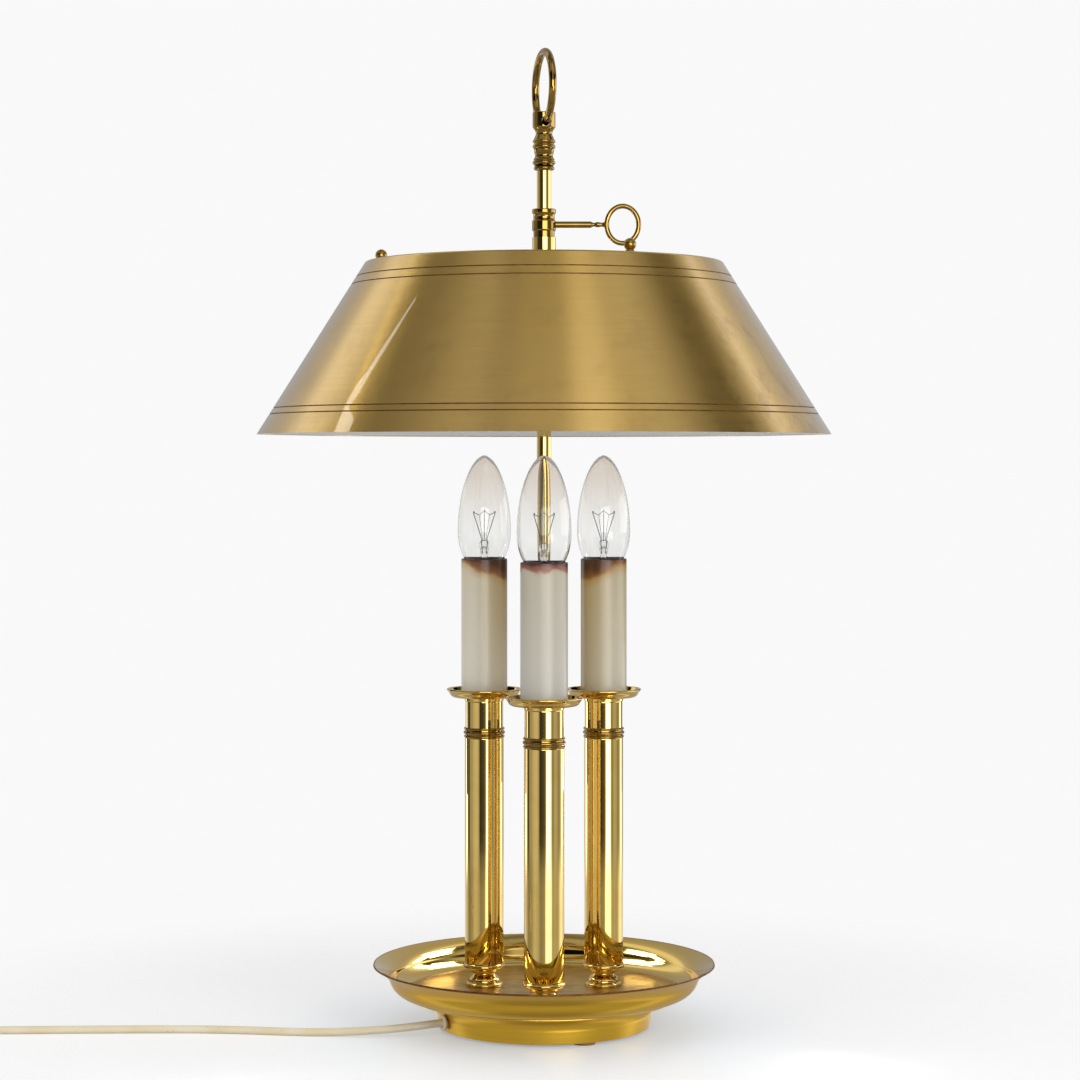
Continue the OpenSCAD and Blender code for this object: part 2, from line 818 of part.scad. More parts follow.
module ball_nuts() {
    seat_h = 1.2;
    color(brass)
        at_balls() translate([0, 0, shade_top])
            difference() {
                union() {
                    cylinder(r = ball_d / 2 - 1, h = 2.4);
                    translate([0, 0, seat_h + ball_d / 2 - 0.2]) sphere(d = ball_d);
                }
                hole(stud_r + fit, -1, stud_l + fit);
            }
}

// ---------- mains cord ----------

cord_r = cord_d / 2;
exit_angle = 205.8;                    // azimuth of the cord's hole in the foot
exit_z = foot_z + 6.4;                 // height of the cord in the foot
grommet_r = cord_r + 2.4;
grommet_out = foot_d / 2 + 5;          // outer end of the grommet
block_r = 34;                          // the terminal block's distance from the column
block_size = [18, 20, 8];
lead_r = 1.1;
lead_bend = 3;
lead_lap = 0.4;                        // a straight stretch starts this far inside its bend
lead_step = 0.06;                      // and is this much thinner than the bend

// Turns the z axis to the direction in which the cord leaves the foot
module along_cord() {
    rotate(exit_angle) translate([0, 0, exit_z]) rotate([0, 90, 0]) children();
}

module cord_grommet() {
    color(ivory)
        along_cord()
            difference() {
                turned(concat(
                    [[0, foot_d / 2 - sheet_t], [grommet_r, foot_d / 2 - sheet_t]],
                    arc([grommet_r - 1.2, grommet_out - 1.2], 1.2, 0, 90, 5),
                    [[0, grommet_out]]));
                hole(cord_r + fit, foot_d / 2 - 2, grommet_out);
            }
}

module terminal_block() {
    color("whitesmoke")
        difference() {
            rotate(exit_angle)
                translate([block_r - block_size.x / 2, -block_size.y / 2, cover_top])
                    cube(block_size);
            lead_runs(lead_r + slip);
        }
}

block_c = block_r * [cos(exit_angle), sin(exit_angle)];
lead_z = cover_top + lead_r + 0.3;     // height of the level stretches over the cover
lead_inset = 5;                        // a lead ends this far from the block's centre

// The level stretch of each lead, from under its stay into the terminal block
module lead_runs(r) {
    for (i = [0 : 2]) {
        stay = candle_r * [cos(stay_angles[i]), sin(stay_angles[i])];
        way = block_c - stay;
        translate([stay.x, stay.y, lead_z])
            rotate(atan2(way.y, way.x)) translate([lead_bend - lead_lap, 0, 0])
                rotate([0, 90, 0])
                    cylinder(r = r, h = norm(way) - lead_bend + lead_lap - lead_inset);
    }
}

// A twin lead up each stay to its lampholder, and the cord's own core to the terminal block
module inner_leads() {
    color("whitesmoke") {
        lead_runs(lead_r - lead_step);
        for (i = [0 : 2]) {
            stay = candle_r * [cos(stay_angles[i]), sin(stay_angles[i])];
            way = block_c - stay;
            translate([stay.x, stay.y, lead_z]) {
                rotate(atan2(way.y, way.x)) translate([lead_bend, 0, lead_bend])
                    rotate([90, 0, 0]) rotate([0, 0, 180])
                        rotate_extrude(angle = 90)
                            translate([lead_bend, 0]) circle(r = lead_r, $fn = 24);
                translate([0, 0, lead_bend - lead_lap])
                    cylinder(r = lead_r - lead_step,
                             h = seat_z - contact_t - lead_z - lead_bend + lead_lap);
            }
        }
        along_cord()
            translate([0, 0, block_r + block_size.x / 2])
                cylinder(r = cord_r, h = foot_d / 2 - 2 - block_r - block_size.x / 2);
    }
}

// Routes of the cord, chosen by hand: points on its centreline
lead_route = [
    [-59.9, -28.9, 7.9], [-68, -32.9, 7.9], [-76, -36.4, 7.5], [-88, -38.8, 6.5],
    [-101, -38.9, 5.3], [-116, -37.5, 4.1], [-132, -35.5, 3.1], [-150, -33.5, 2.6],
    [-168, -30.8, 2.5], [-186, -27.8, 2.5], [-204, -25.6, 2.5], [-222, -24.4, 2.5],
    [-240, -24.2, 2.5], [-260, -24.4, 2.5], [-284, -25, 2.5], [-306, -25.8, 2.5],
    [-328, -26.5, 2.5], [-346, -27, 2.5], [-356, -27, 3.2], [-366, -27, 5], [-377, -27, 6.3]];
tail_route = [
    [-439, -27, 6.3], [-448, -27.2, 5.8], [-458, -29.8, 4.4], [-467, -35, 3.2],
    [-474, -43, 2.6], [-478.3, -53, 2.5], [-480, -64, 2.5], [-480, -80, 2.5],
    [-480, -96, 2.5], [-480, -110, 2.5]];
end_route = [
    [-480, -110, 7.6], [-480, -118, 7.6], [-480, -127, 7.2], [-481.7, -135.5, 6],
    [-486.5, -142.7, 4.6], [-493.7, -147.6, 3.3], [-502.2, -149.3, 2.6], [-510.8, -147.6, 2.5],
    [-518, -142.7, 2.7], [-522.8, -135.5, 3.8], [-524.5, -127, 5.2], [-524.5, -118, 6.4],
    [-524.5, -108, 6.85]];
coil_c = [-441, -110];                 // centre of the coil
coil_r = 30.15;                        // middle of its turns
coil_w = 22.8;                         // width of its bundle of turns
coil_h = 10.2;                         // height of that bundle
coil_join = 39;                        // radius where a loose stretch joins its turns

// A tube swept along a route, with one ring at each point
module cord_tube(route) {
    sides = 10;
    n = len(route);
    rings = [for (i = [0 : n - 1]) let (
            d = unit(route[min(i + 1, n - 1)] - route[max(i - 1, 0)]),
            across = unit(cross([0, 0, 1], d)),
            up = cross(d, across))
        for (k = [0 : sides - 1]) let (a = 360 * (k + 0.5) / sides)
            route[i] + cord_r * (cos(a) * across + sin(a) * up)];
    walls = [for (i = [0 : n - 2], k = [0 : sides - 1]) let (
            a = i * sides + k, b = i * sides + (k + 1) % sides)
        [a, a + sides, b + sides, b]];
    polyhedron(points = rings, faces = concat(
        walls,
        [[for (k = [0 : sides - 1]) k]],
        [[for (k = [sides - 1 : -1 : 0]) (n - 1) * sides + k]]));
}

module mains_cord() { color(ivory) cord_tube(lead_route); }
module cord_tail() { color(ivory) cord_tube(tail_route); }
module cord_end() { color(ivory) cord_tube(end_route); }

module cord_coil() {
    r0 = coil_r - coil_w / 2;
    r1 = coil_r + coil_w / 2;
    color(ivory)
        translate([coil_c.x, coil_c.y, 0])
            difference() {
                rotate_extrude()
                    polygon(concat([[r0, 0], [r1, 0]],
                                   arc([r1 - 2, coil_h - 2], 2, 0, 90, 4),
                                   arc([r0 + 2, coil_h - 2], 2, 90, 180, 4)));
                coil_mouth(tail_route[len(tail_route) - 1].z, 1);
                coil_mouth(end_route[0].z, -1);
            }
}

// Room in the coil's side where a loose stretch of the cord joins it
module coil_mouth(z, way) {
    room = 0.3;
    translate([-coil_join - cord_r - 2 * room, way > 0 ? -eps : -coil_r, z - cord_r - room])
        cube([cord_d + 4 * room, coil_r, cord_d + 2 * room]);
}

// ---------- inline switch ----------

switch_c = [-408, -27];                // centre of the switch on the table
switch_split = 8;                      // height of the joint between base and cover
rocker_l = 18;
rocker_w = 8.6;
rocker_tilt = 7;                       // the rocker rests tilted this far to one side
rocker_gap = 0.4;
channel_l = 4;                         // length of cord inside each end of the case
screw_place = [19, 6.5];               // place of a screw from the case's centre
pivot_z = switch_split + 4.6;
pivot_r = 1;

module at_switch() {
    translate([switch_c.x, switch_c.y, 0]) children();
}

// The case's outline: a bar with round ends
module switch_outline() {
    square([switch_l - switch_w, switch_w], center = true);
    for (s = [-1, 1]) translate([s * (switch_l - switch_w) / 2, 0]) circle(d = switch_w);
}

module switch_base() {
    color(ivory)
        at_switch()
            difference() {
                linear_extrude(switch_split) switch_outline();
                channel_ends();
                screw_places() {
                    translate([0, 0, -eps]) cylinder(d = 5, h = 3);
                    cylinder(r = 1.6, h = switch_split + 1);
                }
            }
}

// Room for the cord in each end of the case
module channel_ends() {
    for (s = [-1, 1])
        translate([s * switch_l / 2, 0, lead_route[len(lead_route) - 1].z]) rotate([0, 90, 0])
            cylinder(r = cord_r + fit, h = 2 * channel_l, center = true);
}

module screw_places() {
    for (s = [-1, 1]) translate([s * screw_place.x, s * screw_place.y, 0]) children();
}

module switch_cover() {
    dome = 3;                          // rounding round the cover's top
    color(ivory)
        at_switch()
            difference() {
                union() {
                    translate([0, 0, switch_split])
                        linear_extrude(switch_h - switch_split - dome) switch_outline();
                    for (k = [0 : 2])
                        translate([0, 0, switch_h - dome + k])
                            linear_extrude(1)
                                scale(1 - 0.035 * (k + 1)) switch_outline();
                }
                channel_ends();
                translate([-rocker_l / 2 - 1, -rocker_w / 2 - rocker_gap, switch_split - eps])
                    cube([rocker_l + 2, rocker_w + 2 * rocker_gap, switch_h]);
                translate([0, 0, pivot_z]) rotate([90, 0, 0])
                    cylinder(r = pivot_r + fit, h = rocker_w + 5, center = true);
                screw_places() cylinder(r = 1.2, h = switch_split + 5);
            }
}

module switch_rocker() {
    h = rocker_l / 2;
    color("white")
        at_switch()
            translate([0, 0, pivot_z]) rotate([0, -rocker_tilt, 0]) {
                rotate([90, 0, 0]) {
                    linear_extrude(rocker_w, center = true)
                        polygon([[-h, -1.4], [0, -3.4], [h, -1.4], [h, 6.2], [0, 5.2], [-h, 6.2]]);
                    cylinder(r = pivot_r, h = rocker_w + 4, center = true);
                }
            }
}

module switch_screws() {
    color(steel)
        at_switch() screw_places() {
            translate([0, 0, 1.2]) cylinder(d = 4.8, h = 1.8 - fit);
            translate([0, 0, 2]) cylinder(r = 1.15, h = switch_split + 2);
        }
}

// ---------- plug ----------

cord_tip = end_route[len(end_route) - 1];
plug_w = 35;
plug_h = 13.7;
plug_l = 36;
pin_root = 10;                         // length of a pin inside the plug
pin_step = 0.3;                        // the pin is this much thinner there
relief_l = 18;                         // length of the plug's strain relief

module at_plug() {
    translate([cord_tip.x, cord_tip.y + relief_l, plug_h / 2]) children();
}

module plug_body() {
    color(ivory)
        at_plug()
            difference() {
                union() {
                    // flat six-sided body, narrower towards the cord
                    intersection() {
                        translate([0, 0, -plug_h / 2])
                            linear_extrude(plug_h)
                                polygon([[-9, 0], [9, 0], [plug_w / 2, 14], [plug_w / 2, plug_l],
                                         [-plug_w / 2, plug_l], [-plug_w / 2, 14]]);
                        translate([0, plug_l + eps, 0]) rotate([90, 0, 0])
                            linear_extrude(plug_l + 1)
                                polygon([[-plug_w / 2, 0], [-plug_w / 2 + 5, -plug_h / 2],
                                         [plug_w / 2 - 5, -plug_h / 2], [plug_w / 2, 0],
                                         [plug_w / 2 - 5, plug_h / 2],
                                         [-plug_w / 2 + 5, plug_h / 2]]);
                    }
                    // tapered strain relief
                    translate([0, 1, 0]) rotate([90, 0, 0])
                        cylinder(r1 = 5.4, r2 = cord_r + 1.2, h = relief_l + 1);
                }
                for (s = [-1, 1])
                    translate([s * pin_gap / 2, plug_l - pin_root, 0]) rotate([-90, 0, 0])
                        cylinder(r = pin_d / 2 - pin_step + fit, h = pin_root + 1);
            }
}

module plug_pins() {
    color(steel)
        at_plug()
            for (s = [-1, 1])
                translate([s * pin_gap / 2, plug_l, 0]) rotate([-90, 0, 0])
                    turned([[0, -pin_root], [pin_d / 2 - pin_step, -pin_root],
                            [pin_d / 2 - pin_step, 0], [pin_d / 2, 0], [pin_d / 2, pin_l - 1],
                            [pin_d / 2 - 1, pin_l], [0, pin_l]]);
}

// ---------- parts ----------

base_dish();
foot_ring();
base_weight();
bottom_cover();
felt_pads();
column();
column_collar();
column_washer();
column_nut();
finial();
carry_ring();
candle_foot(0);  // candle_foot_1
candle_foot(1);  // candle_foot_2
candle_foot(2);  // candle_foot_3
candle_tube(0);  // candle_tube_1
candle_tube(1);  // candle_tube_2
candle_tube(2);  // candle_tube_3
bead_bands();
drip_pan(0);  // drip_pan_1
drip_pan(1);  // drip_pan_2
drip_pan(2);  // drip_pan_3
candle_sleeve(0);  // candle_sleeve_1
candle_sleeve(1);  // candle_sleeve_2
candle_sleeve(2);  // candle_sleeve_3
stay_tubes();
stay_nuts();
pan_nuts();
lampholder(0);  // lampholder_1
lampholder(1);  // lampholder_2
lampholder(2);  // lampholder_3
holder_shells();
holder_contacts();
bulb_glass(0);  // bulb_glass_1
bulb_glass(1);  // bulb_glass_2
bulb_glass(2);  // bulb_glass_3
bulb_cap(0);  // bulb_cap_1
bulb_cap(1);  // bulb_cap_2
bulb_cap(2);  // bulb_cap_3
bulb_stems();
bulb_filaments();
clamp_bush();
hub_nut();
clamp_screw();
shade();
spider();
ball_nuts();
terminal_block();
inner_leads();
cord_grommet();
mains_cord();
switch_base();
switch_cover();
switch_rocker();
switch_screws();
cord_tail();
cord_coil();
cord_end();
plug_body();
plug_pins();
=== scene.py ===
"""Dresses the bouillotte lamp: its cord, turned brass, candles, bulbs, shade and studio.

Lengths are millimetres until a mesh is made, in the lamp's own frame: +Z up, the
origin on the table under the column, the front candle towards -Y.
"""

import math

import bmesh
import bpy
from mathutils import Matrix, Vector


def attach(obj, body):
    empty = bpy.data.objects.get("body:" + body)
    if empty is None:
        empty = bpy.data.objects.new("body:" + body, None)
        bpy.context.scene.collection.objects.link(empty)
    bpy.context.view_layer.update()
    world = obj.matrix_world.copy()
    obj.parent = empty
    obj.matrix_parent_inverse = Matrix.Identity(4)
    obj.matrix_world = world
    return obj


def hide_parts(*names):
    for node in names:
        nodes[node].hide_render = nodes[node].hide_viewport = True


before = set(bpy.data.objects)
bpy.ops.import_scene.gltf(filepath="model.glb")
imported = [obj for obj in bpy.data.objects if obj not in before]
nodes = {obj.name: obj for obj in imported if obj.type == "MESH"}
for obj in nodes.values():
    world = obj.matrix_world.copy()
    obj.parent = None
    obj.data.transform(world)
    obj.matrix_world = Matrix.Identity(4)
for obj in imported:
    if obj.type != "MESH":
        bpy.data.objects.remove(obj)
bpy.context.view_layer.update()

MM = 0.001


def in_scene(name, data, at=(0, 0, 0)):
    """A new object in the scene, at a place in metres."""
    thing = bpy.data.objects.new(name, data)
    thing.location = at
    bpy.context.scene.collection.objects.link(thing)
    return thing


# ---------- camera ----------

EYE = (-0.0026, -1.798, 0.3635)
LENS = 92.9
SENSOR = 36.0
EYE_LINE = 78 / 1080  # the eye line lies this share of the picture above its middle


def make_camera():
    data = bpy.data.cameras.new("camera")
    data.lens = LENS
    data.sensor_width = SENSOR
    data.shift_y = -EYE_LINE
    camera = in_scene("camera", data, EYE)
    camera.rotation_euler = (math.pi / 2, 0, 0)
    bpy.context.scene.camera = camera


# ---------- mains cord ----------

CORD_D = 5.0
LEAD_ROUTE = [
    (-59.9, -28.9, 7.9), (-68, -32.9, 7.9), (-76, -36.4, 7.5), (-88, -38.8, 6.5),
    (-101, -38.9, 5.3), (-116, -37.5, 4.1), (-132, -35.5, 3.1), (-150, -33.5, 2.6),
    (-168, -30.8, 2.5), (-186, -27.8, 2.5), (-204, -25.6, 2.5), (-222, -24.4, 2.5),
    (-240, -24.2, 2.5), (-260, -24.4, 2.5), (-284, -25, 2.5), (-306, -25.8, 2.5),
    (-328, -26.5, 2.5), (-346, -27, 2.5), (-356, -27, 3.2), (-366, -27, 5), (-377, -27, 6.3)]
TAIL_ROUTE = [
    (-439, -27, 6.3), (-448, -27.2, 5.8), (-458, -29.8, 4.4), (-467, -35, 3.2),
    (-474, -43, 2.6), (-478.3, -53, 2.5), (-480, -64, 2.5), (-480, -80, 2.5),
    (-480, -96, 2.5), (-480, -110, 2.5)]
END_ROUTE = [
    (-480, -110, 7.6), (-480, -118, 7.6), (-480, -127, 7.2), (-481.7, -135.5, 6),
    (-486.5, -142.7, 4.6), (-493.7, -147.6, 3.3), (-502.2, -149.3, 2.6), (-510.8, -147.6, 2.5),
    (-518, -142.7, 2.7), (-522.8, -135.5, 3.8), (-524.5, -127, 5.2), (-524.5, -118, 6.4),
    (-524.5, -108, 6.85)]
COIL_CENTRE = (-441, -110)
COIL_JOIN = 39  # radius at which the cord enters and leaves the coil
COIL_TURNS = 7
COIL_STEP = 5.4  # from one turn to the next
LAYER_TURNS = 10 / 3  # turns in each of the two layers


def eased(u):
    return u * u * (3 - 2 * u)


def coil_route(points_per_turn=36):
    """Two layers of turns: inwards on the table, up at the inside, outwards on top."""
    low, high = TAIL_ROUTE[-1][2], END_ROUTE[0][2]
    inner = COIL_JOIN - COIL_STEP * LAYER_TURNS
    rise = COIL_TURNS - 2 * LAYER_TURNS
    route = []
    for i in range(COIL_TURNS * points_per_turn + 1):
        turn = i / points_per_turn
        climb = min(1, max(0, (turn - LAYER_TURNS) / rise))
        if turn < LAYER_TURNS:
            radius = COIL_JOIN - COIL_STEP * turn
        else:
            radius = inner + COIL_STEP * max(0, turn - LAYER_TURNS - rise)
        angle = math.pi + math.tau * turn
        route.append((COIL_CENTRE[0] + radius * math.cos(angle),
                      COIL_CENTRE[1] + radius * math.sin(angle),
                      low + (high - low) * eased(climb)))
    return route


def rounded(route, steps=4):
    """The route as a smooth line through all its points."""
    points = [Vector(p) for p in route]
    line = []
    for i in range(len(points) - 1):
        a, b = points[max(i - 1, 0)], points[i]
        c, d = points[i + 1], points[min(i + 2, len(points) - 1)]
        for k in range(steps):
            u = k / steps
            line.append(0.5 * (2 * b + (c - a) * u + (2 * a - 5 * b + 4 * c - d) * u ** 2
                               + (3 * b - 3 * c + d - a) * u ** 3))
    return line + [points[-1]]


def cord_curve(name, line, material):
    curve = bpy.data.curves.new(name, "CURVE")
    curve.dimensions = "3D"
    curve.bevel_depth = CORD_D / 2 * MM
    curve.bevel_resolution = 6
    curve.use_fill_caps = True
    spline = curve.splines.new("POLY")
    spline.points.add(len(line) - 1)
    for point, place in zip(spline.points, line):
        point.co = (*(place * MM), 1)
    curve.materials.append(material)
    return in_scene(name, curve)


def make_cords(material):
    lead = rounded(LEAD_ROUTE)
    rest = rounded(TAIL_ROUTE)[:-1] + [Vector(p) for p in coil_route()][:-1] + rounded(END_ROUTE)
    switch = [nodes[n] for n in ("switch_base", "switch_cover", "switch_rocker", "switch_screws")]
    plug = [nodes[n] for n in ("plug_body", "plug_pins")]
    for name, line, replaced, far_end, pieces in (
            ("cord_to_switch", lead, ["mains_cord"], "fitting", switch),
            ("cord_to_plug", rest, ["cord_tail", "cord_coil", "cord_end"], "plug", plug)):
        cord = cord_curve(name, line, material)
        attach(cord, "base")
        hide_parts(*replaced)


# ---------- material tools ----------

def paint(text):
    """An sRGB hex colour as linear RGBA."""
    parts = [int(text[i:i + 2], 16) / 255 for i in (0, 2, 4)]
    return [c / 12.92 if c <= 0.04045 else ((c + 0.055) / 1.055) ** 2.4 for c in parts] + [1]


def set_inputs(node, tree, values):
    """Sets a node's inputs, by name or number, or links them."""
    for key, value in values.items():
        if isinstance(value, bpy.types.NodeSocket):
            tree.links.new(value, node.inputs[key])
        else:
            node.inputs[key].default_value = value


def add(tree, kind, inputs=(), **settings):
    """Adds a node with its settings and inputs, and returns its outputs."""
    node = tree.nodes.new(kind)
    for key, value in settings.items():
        setattr(node, key, value)
    set_inputs(node, tree, dict(inputs))
    return node.outputs


def new_material(name):
    """An empty material with a Principled shader: (material, tree, shader)."""
    material = bpy.data.materials.new(name)
    material.use_nodes = True
    tree = material.node_tree
    return material, tree, tree.nodes["Principled BSDF"]


def blotches(tree, size, detail=4.0, stretch=(1, 1, 1), rough=0.5):
    """Noise whose features are about size millimetres across, stretched along the axes."""
    place = add(tree, "ShaderNodeMapping",
                {"Vector": add(tree, "ShaderNodeTexCoord")["Object"],
                 "Scale": [1 / s for s in stretch]})[0]
    return add(tree, "ShaderNodeTexNoise", {"Vector": place, "Scale": 1 / (size * MM),
                                            "Detail": detail, "Roughness": rough})["Fac"]


def two_tone(tree, size, detail, light, dark):
    """Two shades of one colour, in soft patches about size millimetres across."""
    tone = add(tree, "ShaderNodeMapRange",
               {"Value": blotches(tree, size, detail), "From Min": 0.35, "From Max": 0.7})[0]
    return add(tree, "ShaderNodeMix", {"Factor": tone, "A": paint(light), "B": paint(dark)},
               data_type="RGBA")["Result"]


def uneven(tree, size, ends, detail=4.0):
    """A value that wanders between its two ends, in patches about size millimetres across."""
    return add(tree, "ShaderNodeMapRange",
               {"Value": blotches(tree, size, detail), "From Min": 0.3, "From Max": 0.7,
                "To Min": ends[0], "To Max": ends[1]})[0]


# ---------- turning and sweeping ----------

def arc(centre, radius, start, end, steps=12):
    """Points on an arc in the radius-height plane, angles in degrees."""
    turn = [math.radians(start + (end - start) * i / steps) for i in range(steps + 1)]
    return [(centre[0] + radius * math.cos(a), centre[1] + radius * math.sin(a)) for a in turn]


def beside(path, distance):
    """The path moved sideways, to the left of the way it runs."""
    moved = []
    for i, point in enumerate(path):
        a, b = Vector(path[max(i - 1, 0)]), Vector(path[min(i + 1, len(path) - 1)])
        way = (b - a).normalized()
        moved.append((point[0] - way.y * distance, point[1] + way.x * distance))
    return moved


def eased_corners(corners, steps=5):
    """An outline whose corners (radius, height, rounding) are rounded off."""
    line = []
    for i, (x, z, rounding) in enumerate(corners):
        here = Vector((x, z))
        if not rounding or i in (0, len(corners) - 1):
            line.append((x, z))
            continue
        before = Vector(corners[i - 1][:2]) - here
        after = Vector(corners[i + 1][:2]) - here
        start = here + before.normalized() * min(rounding, before.length * 0.49)
        end = here + after.normalized() * min(rounding, after.length * 0.49)
        for k in range(steps + 1):
            u = k / steps
            line.append(tuple(start * (1 - u) ** 2 + here * 2 * u * (1 - u) + end * u ** 2))
    return line


def place_mesh(name, corners, faces, material, at=(0, 0, 0), sharp=32):
    """A smooth-shaded object from corners in millimetres, with creases over sharp degrees."""
    mesh = bpy.data.meshes.new(name)
    mesh.from_pydata([tuple(c * MM for c in corner) for corner in corners], [], faces)
    tidy = bmesh.new()
    tidy.from_mesh(mesh)
    bmesh.ops.recalc_face_normals(tidy, faces=tidy.faces)
    tidy.to_mesh(mesh)
    tidy.free()
    mesh.shade_smooth()
    mesh.set_sharp_from_angle(angle=math.radians(sharp))
    mesh.materials.append(material)
    return in_scene(name, mesh, Vector(at) * MM)


def held(outline, closed, hold=0.4):
    """The outline with a point near each end of its long runs, so that they shade straight."""
    line = []
    for (a, b), (c, d) in zip(outline, outline[1:] + outline[:1] if closed else outline[1:]):
        line.append((a, b))
        run = math.hypot(c - a, d - b)
        if run > 3:
            line += [(a + (c - a) * u, b + (d - b) * u) for u in (hold / run, 1 - hold / run)]
    return line if closed else line + [outline[-1]]


def turned(name, outline, material, at=(0, 0, 0), turns=160, sharp=32):
    """A body turned from its outline: solid where the outline meets the axis, else a ring."""
    closed = outline[0][0] > 1e-6
    corners, rings = [], []
    for radius, height in held(list(outline), closed):
        if radius < 1e-6:
            rings.append([len(corners)] * turns)
            corners.append((0, 0, height))
            continue
        rings.append(range(len(corners), len(corners) + turns))
        corners += [(radius * math.cos(math.tau * k / turns),
                     radius * math.sin(math.tau * k / turns), height) for k in range(turns)]
    faces = []
    for a, b in zip(rings, rings[1:] + rings[:1] if closed else rings[1:]):
        for k in range(turns):
            j = (k + 1) % turns
            face = dict.fromkeys((a[k], a[j], b[j], b[k]))
            if len(face) > 2:
                faces.append(tuple(face))
    return place_mesh(name, corners, faces, material, at, sharp)


def swept_loop(name, middles, outs, radius, material, at=(0, 0, 0), sides=28):
    """A closed tube: a circle of the wire's radius at each middle, in the plane of its out."""
    corners, n = [], len(middles)
    for i in range(n):
        way = (middles[(i + 1) % n] - middles[i - 1]).normalized()
        up = way.cross(outs[i])
        for k in range(sides):
            a = math.tau * k / sides
            corners.append(tuple(middles[i] + radius * (math.cos(a) * outs[i] + math.sin(a) * up)))
    faces = [(i * sides + k, (i + 1) % n * sides + k, (i + 1) % n * sides + (k + 1) % sides,
              i * sides + (k + 1) % sides) for i in range(n) for k in range(sides)]
    return place_mesh(name, corners, faces, material, at)


def wire(name, lines, radius, material, at=(0, 0, 0)):
    """Thin round wires through lists of points, as one mesh."""
    curve = bpy.data.curves.new(name, "CURVE")
    curve.dimensions = "3D"
    curve.bevel_depth = radius * MM
    curve.bevel_resolution = 3
    curve.use_fill_caps = True
    for line in lines:
        spline = curve.splines.new("POLY")
        spline.points.add(len(line) - 1)
        for point, place in zip(spline.points, line):
            point.co = (*(Vector(place) * MM), 1)
    drawn = bpy.data.objects.new(name, curve)
    mesh = bpy.data.meshes.new_from_object(drawn)
    bpy.data.objects.remove(drawn)
    mesh.shade_smooth()
    mesh.materials.append(material)
    return in_scene(name, mesh, Vector(at) * MM)


def hollowed(piece, hollow):
    """The piece with the hollow's skin, turned inwards, as its inner face."""
    hollow.data.flip_normals()
    joined = bmesh.new()
    joined.from_mesh(piece.data)
    joined.from_mesh(hollow.data)
    joined.to_mesh(piece.data)
    joined.free()
    bpy.data.objects.remove(hollow)
    return piece


def settled(piece):
    """The piece with its modifiers applied."""
    graph = bpy.context.evaluated_depsgraph_get()
    mesh = bpy.data.meshes.new_from_object(piece.evaluated_get(graph))
    piece.modifiers.clear()
    piece.data = mesh
    return piece


def stands_for(piece, body, slot, *replaced):
    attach(piece, body)
    if replaced:
        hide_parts(*replaced)
    return piece


# ---------- the lamp's measures ----------

TABLE_GAP = 1.5  # felt under the foot
DISH_Z = 21
FLOOR_Z = 22
TUBE_Z = 36.8
PAN_Z = 207.7
BAND_TOP = PAN_Z - 17.2
BAND_H = 6.8
SLEEVE_Z = 211
SLEEVE_TOP = 300.5
GLASS_Z = 288.5
BULB_L = 79.3
BULB_TOP = GLASS_Z + BULB_L
COLUMN_TOP = 551.5
COLUMN_R = 4.6
HINGE_Z = COLUMN_TOP + 31.4
CLAMP_Z = 516.6
SHADE_TOP = 492
SHADE_H = 110.7
SHADE_Z = SHADE_TOP - SHADE_H
TUBE_R = 12.7
SPIGOT_R = 11.65  # spigots of foot and pan inside the tube
STAY_HOLE_R = 5.1  # hole for the stay tube
BEAD_R = 12.45  # circle on which the bead band's beads are centred
SLEEVE_R = 15
GLASS_R = 17.3
GLASS_NECK_R = 6.45
GLASS_WALL = 0.6
GLASS_FLOOR = 1
STEM_FLAT = 0.8  # the stem is pinched to this share of its width
RING_WIRE_R = 2.45
RING_R = 22.9
RING_HANG = 22.3  # middle of the ring over its hinge
RING_TURN = math.radians(14)
DISH_R = 110
DISH_WALL = 1
CLAMP_R = 7.75
SCREW_R = 2.1
SCREW_L = 22.5
CANDLES = [Vector((45 * math.cos(math.radians(a)), 45 * math.sin(math.radians(a)), 0))
           for a in (-90, 30, 150)]
BALLS = [Vector((105 * math.cos(math.radians(a)), 105 * math.sin(math.radians(a)), 0))
         for a in (-60, 60, 180)]


# ---------- foot, dish and column ----------

def make_dish(material, tarnish):
    bowl = (87, DISH_Z + 13)
    end = arc(bowl, 13, -14, -14, 1)[0]
    lip = (DISH_R, DISH_Z + 19)
    under = ([(COLUMN_R + 0.1, DISH_Z)] + [(r, DISH_Z) for r in range(10, 86, 5)]
             + arc(bowl, 13, -90, -14, 24))
    for i in range(1, 19):
        u = i / 18
        under.append((end[0] + (lip[0] - end[0]) * (0.35 * u + 0.65 * u * u),
                      end[1] + (lip[1] - end[1]) * u))
    inside = beside(under, DISH_WALL)
    edge = [(0.5 * (a + b), 0.5 * (c + d) + 0.35) for (a, c), (b, d) in [(under[-1], inside[-1])]]
    dish = turned("dish", under + edge + inside[::-1], material, turns=256, sharp=50)
    # painted shade: the outside of the rim's edge takes the dark engraved brass, as a dark line
    # along the rolled edge
    dish.data.materials.append(tarnish)
    for face in dish.data.polygons:
        out = Vector((face.center.x, face.center.y, 0))
        if out.length > (DISH_R - 0.6) * MM and face.normal.dot(out.normalized()) > 0.2:
            face.material_index = 1
    stands_for(dish, "base", "spun_brass", "base_dish")


